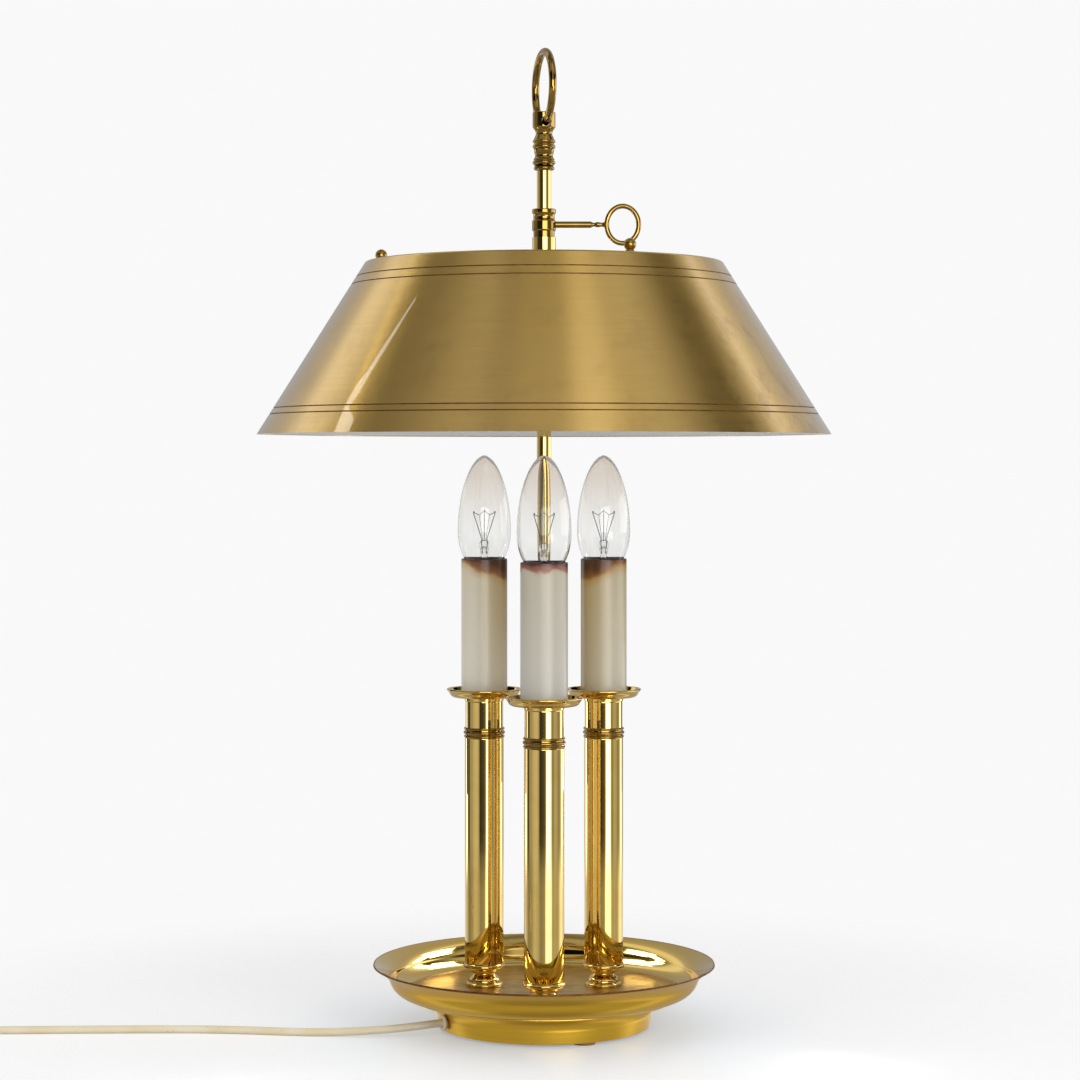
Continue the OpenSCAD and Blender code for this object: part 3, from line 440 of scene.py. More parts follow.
def make_foot(material):
    cove = (79.1, TABLE_GAP + 8)
    outline = ([(57, DISH_Z), (80, DISH_Z)] + arc((84.4, DISH_Z - 1), 1, 90, -90, 12)
               + arc(cove, 9.5, 90, 180, 24) + [(69.05, TABLE_GAP + 4), (68.5, TABLE_GAP + 0.5)]
               + arc((68.0, TABLE_GAP + 0.5), 0.5, 0, -180, 8)
               + [(68.1, TABLE_GAP + 4)] + arc(cove, 10.5, 180, 90, 20) + [(57, DISH_Z - 1)])
    foot = turned("foot", outline, material, turns=256, sharp=40)
    stands_for(foot, "base", "spun_brass", "foot_ring")


def make_grommet(material):
    angle = math.radians(205.8)
    outline = [(2.6, 67.5), (3.4, 67.5), (3.4, 69.9)] + arc((3.8, 71.1), 1.2, -100, 180, 20)
    grommet = turned("cord_bush", outline, material, at=(0, 0, 7.9), turns=64)
    grommet.rotation_euler = (0, math.pi / 2, angle)
    stands_for(grommet, "base", "cord_pvc", "cord_grommet")


def make_column(brass):
    column = turned("column_tube", eased_corners(
        [(3.4, 6.8, 0), (COLUMN_R, 6.8, 0), (COLUMN_R, COLUMN_TOP, 0.2), (3.4, COLUMN_TOP, 0)]),
        brass, turns=96)
    stands_for(column, "base", "polished_brass", "column")
    z = FLOOR_Z
    collar = turned("dish_collar", [(COLUMN_R + 0.05, z), (9, z)]
                    + arc((8, z + 1.5), 1, -30, 90, 10)
                    + arc((9, z + 5.8), 3.3, 230, 180, 12)
                    + eased_corners([(5.7, z + 5.8, 0), (5.6, z + 7, 0.4),
                                     (COLUMN_R + 0.05, z + 7, 0)]),
                    brass, turns=96)
    stands_for(collar, "base", "polished_brass", "column_collar")


def make_finial(brass):
    z, head = COLUMN_TOP, 7.4
    outline = ([(0, z)] + arc((head - 2.1, z + 1.4), 1.4, -90, 90, 14) + [(head - 0.9, z + 3.1)]
               + arc((head - 1.3, z + 5), 1.3, -75, 75, 14)
               + arc((head + 1.6, z + 9.6), 3.2, 230, 150, 18) + [(head - 0.8, z + 13.6)]
               + arc((head - 1.5, z + 15.4), 1.5, -75, 75, 14) + [(head - 1, z + 17.3)]
               + arc((head - 1.2, z + 18.7), 1.2, -70, 60, 12)
               + arc((head + 1, z + 23.8), 3.1, 215, 150, 14)
               + arc((head - 1.4, HINGE_Z - 3.2), 1.4, -60, 0, 8)
               + arc((head - 0.5, HINGE_Z + 5.6), 0.5, 0, 90, 6)
               + [(head - 1.6, HINGE_Z + 6.1), (2, HINGE_Z + 6.5), (0, HINGE_Z + 6.55)])
    finial = turned("turned_finial", outline, brass, turns=128)
    drill = turned("drill", [(0, -20), (3.4, -20), (3.4, 20), (0, 20)], brass,
                   at=(0, 0, HINGE_Z), turns=64)
    drill.rotation_euler = (math.pi / 2, 0, RING_TURN)
    cut = finial.modifiers.new("cross_hole", "BOOLEAN")
    cut.object = drill
    cut.solver = "EXACT"
    settled(finial)
    bpy.data.objects.remove(drill)
    finial.data.set_sharp_from_angle(angle=math.radians(32))
    stands_for(finial, "base", "polished_brass", "finial")


def make_carry_ring(brass):
    turn = [math.tau * i / 160 for i in range(160)]
    outs = [Vector((0, math.cos(a), math.sin(a))) for a in turn]
    ring = swept_loop("lifting_ring", [RING_R * out for out in outs], outs, RING_WIRE_R, brass,
                      at=(0, 0, HINGE_Z + RING_HANG))
    ring.rotation_euler.z = RING_TURN
    stands_for(ring, "carry_ring", "polished_brass", "carry_ring")


# ---------- candles ----------

def make_candle(number, brass, shaded_brass, ivory):
    at = CANDLES[number]
    tag = str(number + 1)
    z = FLOOR_Z
    neck_z = z + 8.288
    foot = turned("turned_foot_" + tag, (
        [(STAY_HOLE_R, z), (11.95, z)] + arc((11.35, z + 1.1), 1.1, -60, 90, 12)
        + [(10.55, z + 2.7)]
        + arc((6.85, z + 2.7), 3.7, 0, 55, 12) + arc((8.45, neck_z), 1.6, 200, 140, 8)
        + arc((12.05, neck_z + 0.4), 3.2, 170, 95, 12)
        + arc((13.65 - 1.628, TUBE_Z - 1.628), 1.628, -90, 90, 16)
        + [(SPIGOT_R, TUBE_Z), (SPIGOT_R, TUBE_Z + 4), (STAY_HOLE_R, TUBE_Z + 4)]),
        brass, at, 128)
    stands_for(foot, "base", "polished_brass", "candle_foot_" + tag)

    upper = TUBE_R - 0.4
    tube = turned("brass_tube_" + tag, eased_corners(
        [(11.7, TUBE_Z, 0), (TUBE_R, TUBE_Z, 0.25), (TUBE_R, BAND_TOP - BAND_H, 0.1),
         (upper, BAND_TOP - BAND_H, 0), (upper, PAN_Z, 0.2), (11.7, PAN_Z, 0)]), brass, at, 144)
    stands_for(tube, "base", "polished_brass", "candle_tube_" + tag)

    z = BAND_TOP - BAND_H
    band = turned("bead_band_" + tag, (
        [(12.35, z)] + arc((BEAD_R, z + 0.85), 0.85, -90, 80, 12)
        + arc((BEAD_R, z + BAND_H / 2), 1.15, -80, 80, 14)
        + arc((BEAD_R, z + BAND_H - 0.85), 0.85, -80, 90, 12) + [(12.35, z + BAND_H)]),
        shaded_brass, at, 128)
    stands_for(band, "base", "polished_brass", "bead_bands")

    floor_z = PAN_Z + 2.3
    under = [(12.8, floor_z)] + arc((19, floor_z + 4.2), 4.2, -90, -25, 14)
    inside = [(STAY_HOLE_R, floor_z + 1)] + beside(arc((19, floor_z + 4.2), 4.2, -90, -25, 14), 1)
    pan = turned("spun_pan_" + tag, (
        eased_corners([(STAY_HOLE_R, PAN_Z - 3, 0), (SPIGOT_R, PAN_Z - 3, 0.2),
                       (SPIGOT_R, PAN_Z, 0), (12.8, PAN_Z, 0.3), (12.8, floor_z, 0)])[:-1] + under
        + arc((23.7, floor_z + 5), 0.8, -75, 165, 18) + inside[::-1]), brass, at, 144, 45)
    stands_for(pan, "base", "polished_brass", "drip_pan_" + tag)

    sleeve = turned("sleeve_" + tag, (
        [(13.3, SLEEVE_Z), (SLEEVE_R, SLEEVE_Z)]
        + [(SLEEVE_R, SLEEVE_Z + h) for h in range(10, 88, 10)]
        + arc((SLEEVE_R - 0.8, SLEEVE_TOP - 0.8), 0.8, 0, 90, 8)
        + arc((13.7, SLEEVE_TOP - 0.4), 0.4, 90, 180, 6)), ivory[number], at, 128, 50)
    stands_for(sleeve, "base", "candle_plastic", "candle_sleeve_" + tag)


def glass_r(z):
    """Radius of the bulb at height z: a blunt candle flame over a short belly."""
    belly = BULB_TOP - 0.625 * BULB_L
    if z > belly:
        share = (z - belly) / (BULB_TOP - belly)
        return GLASS_R * max(0, 1 - share * share) ** 0.56
    share = (belly - z) / (0.91 * (belly - GLASS_Z))
    return max(GLASS_NECK_R, GLASS_R * max(0, 1 - share * share) ** 0.5)


def make_bulb(number, glass, stem_glass, nickel_wire, tungsten):
    at = CANDLES[number]
    tag = str(number + 1)
    heights = [GLASS_Z + BULB_L * math.sin(math.radians(90 * i / 72)) for i in range(73)]
    outer = [(glass_r(h), h) for h in heights]
    outer[-1] = (0, BULB_TOP)
    squeeze = (BULB_L - GLASS_FLOOR - GLASS_WALL) / BULB_L
    inner = [(max(0, r - GLASS_WALL), GLASS_Z + GLASS_FLOOR + (h - GLASS_Z) * squeeze)
             for r, h in outer]
    while inner[-2][0] < 1e-6:
        inner.pop()
    outline = [(0, GLASS_Z)] + outer
    bulb = turned("blown_glass_" + tag, outline, glass, at, 128, 60)
    hollow = turned("hollow", [(0, GLASS_Z + GLASS_FLOOR)] + inner, glass, at, 128, 60)
    stands_for(hollowed(bulb, hollow), "base", "lamp_glass", "bulb_glass_" + tag)

    z, top = GLASS_Z + GLASS_FLOOR, GLASS_Z + 24
    stem = turned("bulb_stem_" + tag, eased_corners(
        [(0, z, 0), (5.2, z, 0), (4.4, z + 3, 2), (2.4, z + 6, 2), (2.3, top - 8, 2),
         (3.2, top - 5, 1.6), (3.2, top - 2, 1.6), (2.1, top, 1.2), (0, top, 0)], 8),
        stem_glass, at, 48, 60)
    # the pinch leaves a long bubble in the stem
    bubble = turned("bubble", eased_corners(
        [(0, z + 2, 0), (3.4, z + 2.2, 0.4), (1.5, z + 6, 2), (1.3, top - 9, 1),
         (2.1, top - 6, 0.8), (1.2, top - 4.2, 0.6), (0, top - 3.8, 0)], 6), stem_glass, at, 48, 60)
    stem.scale = (1, STEM_FLAT, 1)
    stands_for(hollowed(stem, bubble), "base", "lamp_glass", "bulb_stems")

    hook_z = top + 18
    turn = Matrix.Rotation(math.radians((28, 12, 16)[number]), 3, "Z")
    leads = [[turn @ Vector(p) for p in (
        (s * 1.3, 0, top - 9), (s * 1.5, 0, top - 1), (s * 2.2, 0, top + 2),
        (s * 6.6, 0, hook_z - 2.4), (s * 7.3, 0, hook_z - 0.4), (s * 7.4, 0, hook_z + 0.5),
        (s * 7.0, 0, hook_z + 0.9), (s * 6.7, 0, hook_z + 0.3))] for s in (-1, 1)]
    props = [[turn @ Vector(p) for p in (
        (x * 0.3, 0, top - 1), (x, 0, hook_z - 3), (x, 0, hook_z + dz), (x + 0.5, 0, hook_z + dz)
    )] for x, dz in ((-3.2, -2.0), (0, 1.6), (3.2, -2.0))]
    stands_for(wire("bulb_leads_" + tag, leads + props[1:2], 0.25, nickel_wire, at),
               "base", "tungsten", "bulb_filaments")
    stands_for(wire("bulb_props_" + tag, [props[0], props[2]], 0.14, nickel_wire, at),
               "base", "tungsten", "bulb_filaments")
    # the filament is a fine coil that hangs in four runs from its hooks
    bends = [Vector(p) for p in ((-7, 0, hook_z), (-3.6, 0, hook_z - 1.6), (0, 0, hook_z + 1.2),
                                 (3.6, 0, hook_z - 1.6), (7, 0, hook_z))]
    coil, windings = [], 34
    for a, b in zip(bends, bends[1:]):
        way = (b - a).normalized()
        side = way.cross(Vector((0, 1, 0)))
        for i in range(windings * 8):
            angle = math.tau * i / 8
            coil.append(turn @ (a.lerp(b, i / windings / 8) + 0.2 * (
                math.cos(angle) * side + math.sin(angle) * Vector((0, 1, 0)))))
    stands_for(wire("bulb_filament_" + tag, [coil], 0.045, tungsten, at),
               "base", "tungsten", "bulb_filaments")


# ---------- shade and clamp ----------

LOWER_R, UPPER_R = 184.5, 115
SLOPE = math.atan((LOWER_R - UPPER_R) / SHADE_H)
ENGRAVED = (0.115, 0.15, 0.865, 0.912)  # engraved lines, as shares of the shade's height


def make_shade(satin, white, engraved):
    def wall(share, inwards=0.0):
        return (LOWER_R + (UPPER_R - LOWER_R) * share - inwards * math.cos(SLOPE),
                SHADE_Z + SHADE_H * share - inwards * math.sin(SLOPE))

    groove = 0.45 / (SHADE_H / math.cos(SLOPE))
    outside = [wall(0)]
    marks = [0.002] + [i / 40 for i in range(1, 39)]
    for u in ENGRAVED:
        marks = [m for m in marks if abs(m - u) > 1.5 * groove]
        marks += [u - groove, u - groove * 0.3, u + groove * 0.3, u + groove]
    for m in sorted(marks):
        cut = any(abs(m - u) < 0.6 * groove for u in ENGRAVED)
        outside.append(wall(m, 0.3 if cut else 0.0))
    slope = math.degrees(SLOPE)
    bend = 2
    centre = (UPPER_R - bend * math.cos(SLOPE) + bend * math.tan(SLOPE) * (1 - math.sin(SLOPE)),
              SHADE_TOP - bend)
    outside = [p for p in outside if p[1] < SHADE_TOP - bend]
    outside += (arc(centre, bend, slope, 90, 12)
                + [(UPPER_R - 8, SHADE_TOP), (UPPER_R - 18, SHADE_TOP)])
    inside = ([(UPPER_R - 18, SHADE_TOP - 0.8)] + arc(centre, bend - 0.8, 90, slope, 8)
              + [wall(u, 0.8) for u in (0.9, 0.7, 0.5, 0.3, 0.15, 0.05, 0.006)])
    outline = outside + inside
    shade = turned("brass_shade", outline, satin, turns=320, sharp=24)
    shade.data.materials.append(white)
    shade.data.materials.append(engraved)
    cuts = [wall(u)[1] * MM for u in ENGRAVED]
    for face in shade.data.polygons:
        out = Vector((face.center.x, face.center.y, 0)).normalized()
        painted = face.normal.dot(out) < -0.2 or (face.normal.z < -0.5)
        face.material_index = int(painted and face.center.z > (SHADE_Z + 0.6) * MM)
        if not painted and min(abs(face.center.z - cut) for cut in cuts) < 0.36 * MM:
            face.material_index = 2
    stands_for(shade, "shade", "satin_brass", "shade")


def make_ball_nuts(brass):
    z = SHADE_TOP
    for number, at in enumerate(BALLS):
        ball = turned("ball_nut_" + str(number + 1), (
            [(0, z), (2.85, z)] + arc((2.6, z + 0.5), 0.4, -60, 60, 6)
            + arc((0, z + 4.85), 3.85, -52, 89, 40) + [(0, z + 8.7)]), brass, at, 64)
        stands_for(ball, "shade", "satin_brass", "ball_nuts")


def make_clamp(brass):
    z, r = CLAMP_Z, CLAMP_R
    outline = ([(COLUMN_R + 0.05, z - 8.2), (r - 1.1, z - 8.2), (r - 0.9, z - 8.0),
                (r - 0.9, z - 4.4)]
               + arc((r - 1.2, z - 3.2), 1.2, -70, 0, 10) + arc((r - 1, z + 1.9), 1, 0, 70, 8)
               + [(r - 0.85, z + 3.4), (r - 0.85, z + 6.4)]
               + arc((r - 0.8, z + 7.7), 0.8, -70, 0, 8) + arc((r - 0.8, z + 9.3), 0.8, 0, 90, 8)
               + [(COLUMN_R + 0.3, z + 10.1), (COLUMN_R + 0.05, z + 9.9)])
    bush = turned("clamp_collar", outline, brass, turns=128)
    spigot = turned("clamp_spigot", eased_corners(
        [(COLUMN_R + 0.05, z - 32.7, 0), (6.1, z - 32.7, 0.3), (6.1, z - 8.2, 0),
         (COLUMN_R + 0.05, z - 8.2, 0)]),
        brass, turns=96)
    stands_for(bush, "clamp", "polished_brass", "clamp_bush")
    stands_for(spigot, "clamp", "polished_brass", "clamp_bush")

    end = CLAMP_R + SCREW_L
    outline = ([(0, COLUMN_R + 0.1), (SCREW_R, COLUMN_R + 0.1), (SCREW_R, end - 0.3), (2.05, end)]
               + eased_corners([(1.2, end + 1.6, 0), (1.25, end + 2.4, 0.5), (1.9, end + 4.3, 1.6),
                                (1.3, end + 6.6, 1), (1.35, end + 7.4, 0.6), (1.9, end + 9.4, 0.3),
                                (0, end + 9.4, 0)]))
    shank = turned("clamp_screw_shank", outline, brass, (0, 0, z), 64)
    shank.rotation_euler.y = math.pi / 2
    high, wide, gauge = 12.0, 10.3, 1.6
    middles, outs = [], []
    for i in range(128):
        a = math.tau * i / 128
        middles.append(Vector((wide * math.cos(a), 0, high * math.sin(a))))
        outs.append(Vector((high * math.cos(a), 0, wide * math.sin(a))).normalized())
    bow = swept_loop("clamp_screw_bow", middles, outs, gauge, brass,
                     at=(end + 8.6 + 11.9, 0, z), sides=24)
    for piece in (shank, bow):
        stands_for(piece, "clamp_screw", "polished_brass", "clamp_screw")


# ---------- finishes ----------

def turned_marks(tree, pitch, run=0.35, detail=3.0):
    """Noise drawn out round the turning axis: pitch millimetres across, run radians long."""
    place = add(tree, "ShaderNodeTexCoord")["Object"]
    flat = add(tree, "ShaderNodeVectorMath", {0: place, 1: (1, 1, 0)}, operation="MULTIPLY")[0]
    radius = add(tree, "ShaderNodeVectorMath", {0: flat}, operation="LENGTH")["Value"]
    way = add(tree, "ShaderNodeVectorMath", {0: flat}, operation="NORMALIZE")[0]
    way = add(tree, "ShaderNodeVectorMath", {0: way, "Scale": 1 / run}, operation="SCALE")[0]
    lines = 1 / (pitch * MM)
    place = add(tree, "ShaderNodeVectorMath", {0: place, 1: (0, 0, lines), 2: way},
                operation="MULTIPLY_ADD")[0]
    across = add(tree, "ShaderNodeMath", {0: radius, 1: lines}, operation="MULTIPLY")[0]
    return add(tree, "ShaderNodeTexNoise", {"Vector": place, "W": across, "Scale": 1.0,
                                            "Detail": detail}, noise_dimensions="4D")["Fac"]


def turned_brass(name, light, dark, tarnish, rough, lacquer):
    """Cartridge brass, turned, buffed bright and lacquered: a mirror, a little uneven, with
    specks of tarnish where the lacquer has worn."""
    material, tree, shader = new_material(name)
    colour = two_tone(tree, 14, 5, light, dark)
    stain = add(tree, "ShaderNodeMapRange",
                {"Value": blotches(tree, 3.5, 6, rough=0.7), "From Min": 0.64, "From Max": 0.8,
                 "To Max": 0.5}, interpolation_type="SMOOTHSTEP")[0]
    colour = add(tree, "ShaderNodeMix", {"Factor": stain, "A": colour, "B": paint(tarnish)},
                 data_type="RGBA")["Result"]
    gloss = add(tree, "ShaderNodeMapRange",
                {"Value": blotches(tree, 6, 5), "From Min": 0.3, "From Max": 0.75,
                 "To Min": rough[0], "To Max": rough[1]})[0]
    set_inputs(shader, tree,
               {"Base Color": colour, "Metallic": 1.0, "Roughness": gloss, "Coat Weight": lacquer,
                "Coat Roughness": 0.02, "Coat IOR": 1.85,
                "Normal": add(tree, "ShaderNodeBump",
                              {"Height": blotches(tree, 14, 1), "Distance": 0.006 * MM})[0]})
    return material


def spun_brass():
    """Brass sheet spun on a lathe: bright inside, with fine rings and a dull patina."""
    material, tree, shader = new_material("spun_brass")
    lines = turned_marks(tree, 0.5, 0.8)
    patches = blotches(tree, 16, 6, rough=0.62)
    facing = add(tree, "ShaderNodeNewGeometry")["Normal"]
    facing = add(tree, "ShaderNodeSeparateXYZ", {0: facing})["Z"]
    inside = add(tree, "ShaderNodeMapRange", {"Value": facing, "From Min": 0.12, "From Max": 0.3},
                 interpolation_type="SMOOTHSTEP")[0]
    level = add(tree, "ShaderNodeMapRange", {"Value": facing, "From Min": 0.9, "From Max": 0.99},
                interpolation_type="SMOOTHSTEP")[0]
    colour = add(tree, "ShaderNodeMix",
                 {"Factor": add(tree, "ShaderNodeMapRange",
                                {"Value": lines, "From Min": 0.3, "From Max": 0.7})[0],
                  "A": paint("EFBF3E"), "B": paint("E9B838")}, data_type="RGBA")["Result"]
    colour = add(tree, "ShaderNodeMix", {"Factor": inside, "A": colour, "B": paint("E0BC60")},
                 data_type="RGBA")["Result"]
    worn = add(tree, "ShaderNodeMapRange",
               {"Value": patches, "From Min": 0.4, "From Max": 0.7, "To Min": 0.25,
                "To Max": 0.85})[0]
    worn = add(tree, "ShaderNodeMath", {0: worn, 1: level}, operation="MULTIPLY")[0]
    colour = add(tree, "ShaderNodeMix", {"Factor": worn, "A": colour, "B": paint("947044")},
                 data_type="RGBA")["Result"]
    outer = add(tree, "ShaderNodeMapRange",
                {"Value": patches, "From Min": 0.35, "From Max": 0.75, "To Min": 0.28,
                 "To Max": 0.34})[0]
    wall = add(tree, "ShaderNodeMapRange",
               {"Value": patches, "From Min": 0.35, "From Max": 0.75, "To Min": 0.04,
                "To Max": 0.1})[0]
    floor = add(tree, "ShaderNodeMapRange",
                {"Value": patches, "From Min": 0.35, "From Max": 0.75, "To Min": 0.3,
                 "To Max": 0.42})[0]
    gloss = add(tree, "ShaderNodeMix", {"Factor": inside, "A": outer, "B": wall})[0]
    gloss = add(tree, "ShaderNodeMix", {"Factor": level, "A": gloss, "B": floor})[0]
    lacquer = add(tree, "ShaderNodeMath",
                  {0: level, 1: -0.4,
                   2: add(tree, "ShaderNodeMapRange",
                          {"Value": inside, "To Min": 0.1, "To Max": 0.45})[0]},
                  operation="MULTIPLY_ADD")[0]
    set_inputs(shader, tree,
               {"Base Color": colour, "Metallic": 1.0, "Roughness": gloss, "Coat Weight": lacquer,
                "Coat IOR": 1.7, "Coat Roughness": 0.05,
                "Normal": add(tree, "ShaderNodeBump",
                              {"Height": lines, "Distance": 0.0003 * MM})[0]})
    return material


def satin_brass():
    """Brass sheet brushed round the shade, then lacquered: long soft streaks of light."""
    material, tree, shader = new_material("satin_brass")
    # scratches of 0.03 mm are drawn 0.5 mm wide, so that they show
    fine = turned_marks(tree, 0.5, 0.3, 4)
    broad = turned_marks(tree, 4.0, 0.8, 3)
    patches = blotches(tree, 30, 7, rough=0.65)
    colour = add(tree, "ShaderNodeMix",
                 {"Factor": add(tree, "ShaderNodeMapRange",
                                {"Value": fine, "From Min": 0.3, "From Max": 0.7})[0],
                  "A": paint("E5BC5C"), "B": paint("DFB456")}, data_type="RGBA")["Result"]
    colour = add(tree, "ShaderNodeMix",
                 {"Factor": add(tree, "ShaderNodeMapRange",
                                {"Value": patches, "From Min": 0.5, "From Max": 0.72,
                                 "To Max": 0.3}, interpolation_type="SMOOTHSTEP")[0], "A": colour,
                  "B": paint("BC9140")}, data_type="RGBA")["Result"]
    # the lacquer has let tarnish through in clouds on one side
    side = add(tree, "ShaderNodeSeparateXYZ", {0: add(tree, "ShaderNodeTexCoord")["Object"]})["X"]
    clouds = add(tree, "ShaderNodeMapRange",
                 {"Value": blotches(tree, 16, 7, (1, 1, 1.6), 0.7), "From Min": 0.45,
                  "From Max": 0.68, "To Max": 0.55}, interpolation_type="SMOOTHSTEP")[0]
    clouds = add(tree, "ShaderNodeMath",
                 {0: clouds,
                  1: add(tree, "ShaderNodeMapRange",
                         {"Value": side, "From Min": 80 * MM, "From Max": 125 * MM},
                         interpolation_type="SMOOTHSTEP")[0]}, operation="MULTIPLY")[0]
    colour = add(tree, "ShaderNodeMix", {"Factor": clouds, "A": colour, "B": paint("A87C3C")},
                 data_type="RGBA")["Result"]
    gloss = add(tree, "ShaderNodeMath",
                {0: add(tree, "ShaderNodeMapRange",
                        {"Value": broad, "From Min": 0.3, "From Max": 0.7, "To Min": 0.19,
                         "To Max": 0.22})[0],
                 1: add(tree, "ShaderNodeMapRange",
                        {"Value": fine, "From Min": 0.3, "From Max": 0.7, "To Min": -0.01,
                         "To Max": 0.01})[0]}, operation="ADD")[0]
    grain = add(tree, "ShaderNodeTangent", direction_type="RADIAL", axis="Z")[0]
    set_inputs(shader, tree,
               {"Base Color": colour, "Metallic": 1.0, "Roughness": gloss, "Anisotropic": 0.9,
                "Anisotropic Rotation": 0.25, "Tangent": grain, "Coat Weight": 1.0,
                "Coat Roughness": 0.015, "Coat IOR": 1.65,
                "Normal": add(tree, "ShaderNodeBump",
                              {"Height": fine, "Distance": 0.0006 * MM})[0]})
    return material


def engraved_brass():
    """The cut of an engraved line: dull brass, dark with old polish."""
    material, tree, shader = new_material("engraved_brass")
    set_inputs(shader, tree, {
        "Base Color": two_tone(tree, 5, 5, "8A5E2C", "62421E"), "Metallic": 0.8,
        "Roughness": uneven(tree, 2, (0.45, 0.6))})
    return material


def white_paint():
    """Stoved white enamel inside the shade: a faint orange-peel skin."""
    material, tree, shader = new_material("white_enamel")
    set_inputs(shader, tree,
               {"Base Color": two_tone(tree, 25, 5, "F3F5F5", "EAEDED"),
                "Roughness": uneven(tree, 8, (0.35, 0.5)),
                "Normal": add(tree, "ShaderNodeBump",
                              {"Height": blotches(tree, 1.5, 2), "Distance": 0.02 * MM})[0]})
    return material


def scorched_plastic(number):
    """White phenolic candle tube, yellower on the side towards the column and scorched under the
    bulb.
    """
    material, tree, shader = new_material("scorched_plastic_" + str(number + 1))
    place = add(tree, "ShaderNodeSeparateXYZ", {0: add(tree, "ShaderNodeTexCoord")["Object"]})
    side, height = place["X"], place["Z"]
    aged = add(tree, "ShaderNodeMapRange",
               {"Value": height, "From Min": SLEEVE_Z * MM, "From Max": SLEEVE_TOP * MM})[0]
    # the plastic's two tones; how the scorch leans, in millimetres per millimetre along X; the side
    # with a yellow tint: -1 or 1 along X, 0 neither; then each stain's two edges below the top, how
    # strong it is and its colour, from the widest and palest to the burnt rim
    light, dark, lean, tinted_side, stains = (
        ("D2CDC1", "CBC2AE", 0.03, 0, (
            (9, 5, 0.35, "C9A27A"), (6.4, 4.2, 0.85, "8A4632"), (4, 0.5, 0.9, "4E1E16"))),
        ("D8CFB8", "CEC09E", -0.42, -1, (
            (17, 9, 0.65, "C08E34"), (11, 6.5, 0.9, "8C5414"), (8.5, 2, 0.9, "4A2A0C"))),
        ("F2ECDD", "EBDFC2", 0.42, 1, (
            (16, 8, 0.55, "C89A44"), (10, 6, 0.9, "8E5020"), (7.5, 1, 0.9, "46260E"))))[number]
    colour = add(tree, "ShaderNodeMix", {"Factor": aged, "A": paint(light), "B": paint(dark)},
                 data_type="RGBA")["Result"]
    colour = add(tree, "ShaderNodeMix",
                 {"Factor": add(tree, "ShaderNodeMapRange",
                                {"Value": blotches(tree, 20, 0, (1, 1, 3)), "From Min": 0.3,
                                 "From Max": 0.75, "To Max": 0.12},
                                interpolation_type="SMOOTHSTEP")[0], "A": colour,
                  "B": paint("C9BEA4")}, data_type="RGBA")["Result"]
    # a yellow tint on the side towards the column, stronger towards the top
    if tinted_side:
        near = add(tree, "ShaderNodeMapRange",
                   {"Value": side, "From Min": -7 * tinted_side * MM, "From Max": 13 * tinted_side * MM,
                    "To Max": 0.75}, interpolation_type="SMOOTHSTEP")[0]
        near = add(tree, "ShaderNodeMath",
                   {0: near,
                    1: add(tree, "ShaderNodeMapRange",
                           {"Value": aged, "From Max": 0.8, "To Min": 0.45})[0]},
                   operation="MULTIPLY")[0]
        colour = add(tree, "ShaderNodeMix", {"Factor": near, "A": colour, "B": paint("CEB06C")},
                     data_type="RGBA")["Result"]
    waver = add(tree, "ShaderNodeMapRange",
                {"Value": blotches(tree, 11, 2, (1, 1, 0.8), 0.4), "From Min": 0.25,
                 "From Max": 0.8, "To Min": -2.5 * MM, "To Max": 2.5 * MM})[0]
    slant = add(tree, "ShaderNodeMath", {0: side, 1: lean}, operation="MULTIPLY")[0]
    waver = add(tree, "ShaderNodeMath", {0: waver, 1: slant}, operation="ADD")[0]
    level = add(tree, "ShaderNodeMath", {0: height, 1: waver}, operation="ADD")[0]
    top = SLEEVE_TOP * MM
    for start, end, strength, shade in stains:
        burnt = add(tree, "ShaderNodeMapRange",
                    {"Value": level, "From Min": top - start * MM, "From Max": top - end * MM,
                     "To Max": strength}, interpolation_type="SMOOTHSTEP")[0]
        colour = add(tree, "ShaderNodeMix", {"Factor": burnt, "A": colour, "B": paint(shade)},
                     data_type="RGBA")["Result"]
    rim = add(tree, "ShaderNodeMapRange",
              {"Value": height, "From Min": top - 0.9 * MM, "From Max": top - 0.4 * MM,
               "To Max": 0.9}, interpolation_type="SMOOTHSTEP")[0]
    colour = add(tree, "ShaderNodeMix", {"Factor": rim, "A": colour, "B": paint("3A2A2E")},
                 data_type="RGBA")["Result"]
    set_inputs(shader, tree,
               {"Base Color": colour, "IOR": 1.55, "Roughness": uneven(tree, 30, (0.3, 0.36), 0),
                "Normal": add(tree, "ShaderNodeBump",
                              {"Height": blotches(tree, 16, 0, (1, 1, 4)),
                               "Distance": 0.008 * MM})[0]})
    return material


def lamp_glass(name, tint, density):
    """Blown soda glass, thin and clear, a little grey from use."""
    material, tree, shader = new_material(name)
    gloss = add(tree, "ShaderNodeMapRange",
                {"Value": blotches(tree, 9, 3), "From Min": 0.4, "From Max": 0.8,
                 "To Max": 0.03})[0]
    height = add(tree, "ShaderNodeSeparateXYZ",
                 {0: add(tree, "ShaderNodeTexCoord")["Object"]})["Z"]
    smoked = add(tree, "ShaderNodeMapRange",
                 {"Value": height, "From Min": BULB_TOP * MM - 0.05, "From Max": BULB_TOP * MM},
                 interpolation_type="SMOOTHSTEP")[0]
    set_inputs(shader, tree,
               {"Base Color": add(tree, "ShaderNodeMix",
                                  {"Factor": smoked, "A": paint("FCFCFB"), "B": paint("F1EBE4")},
                                  data_type="RGBA")["Result"], "Roughness": gloss, "IOR": 1.5,
                "Transmission Weight": 1.0})
    shade = add(tree, "ShaderNodeVolumeAbsorption", {"Color": paint(tint), "Density": density})[0]
    tree.links.new(shade, tree.nodes["Material Output"].inputs["Volume"])
    return material


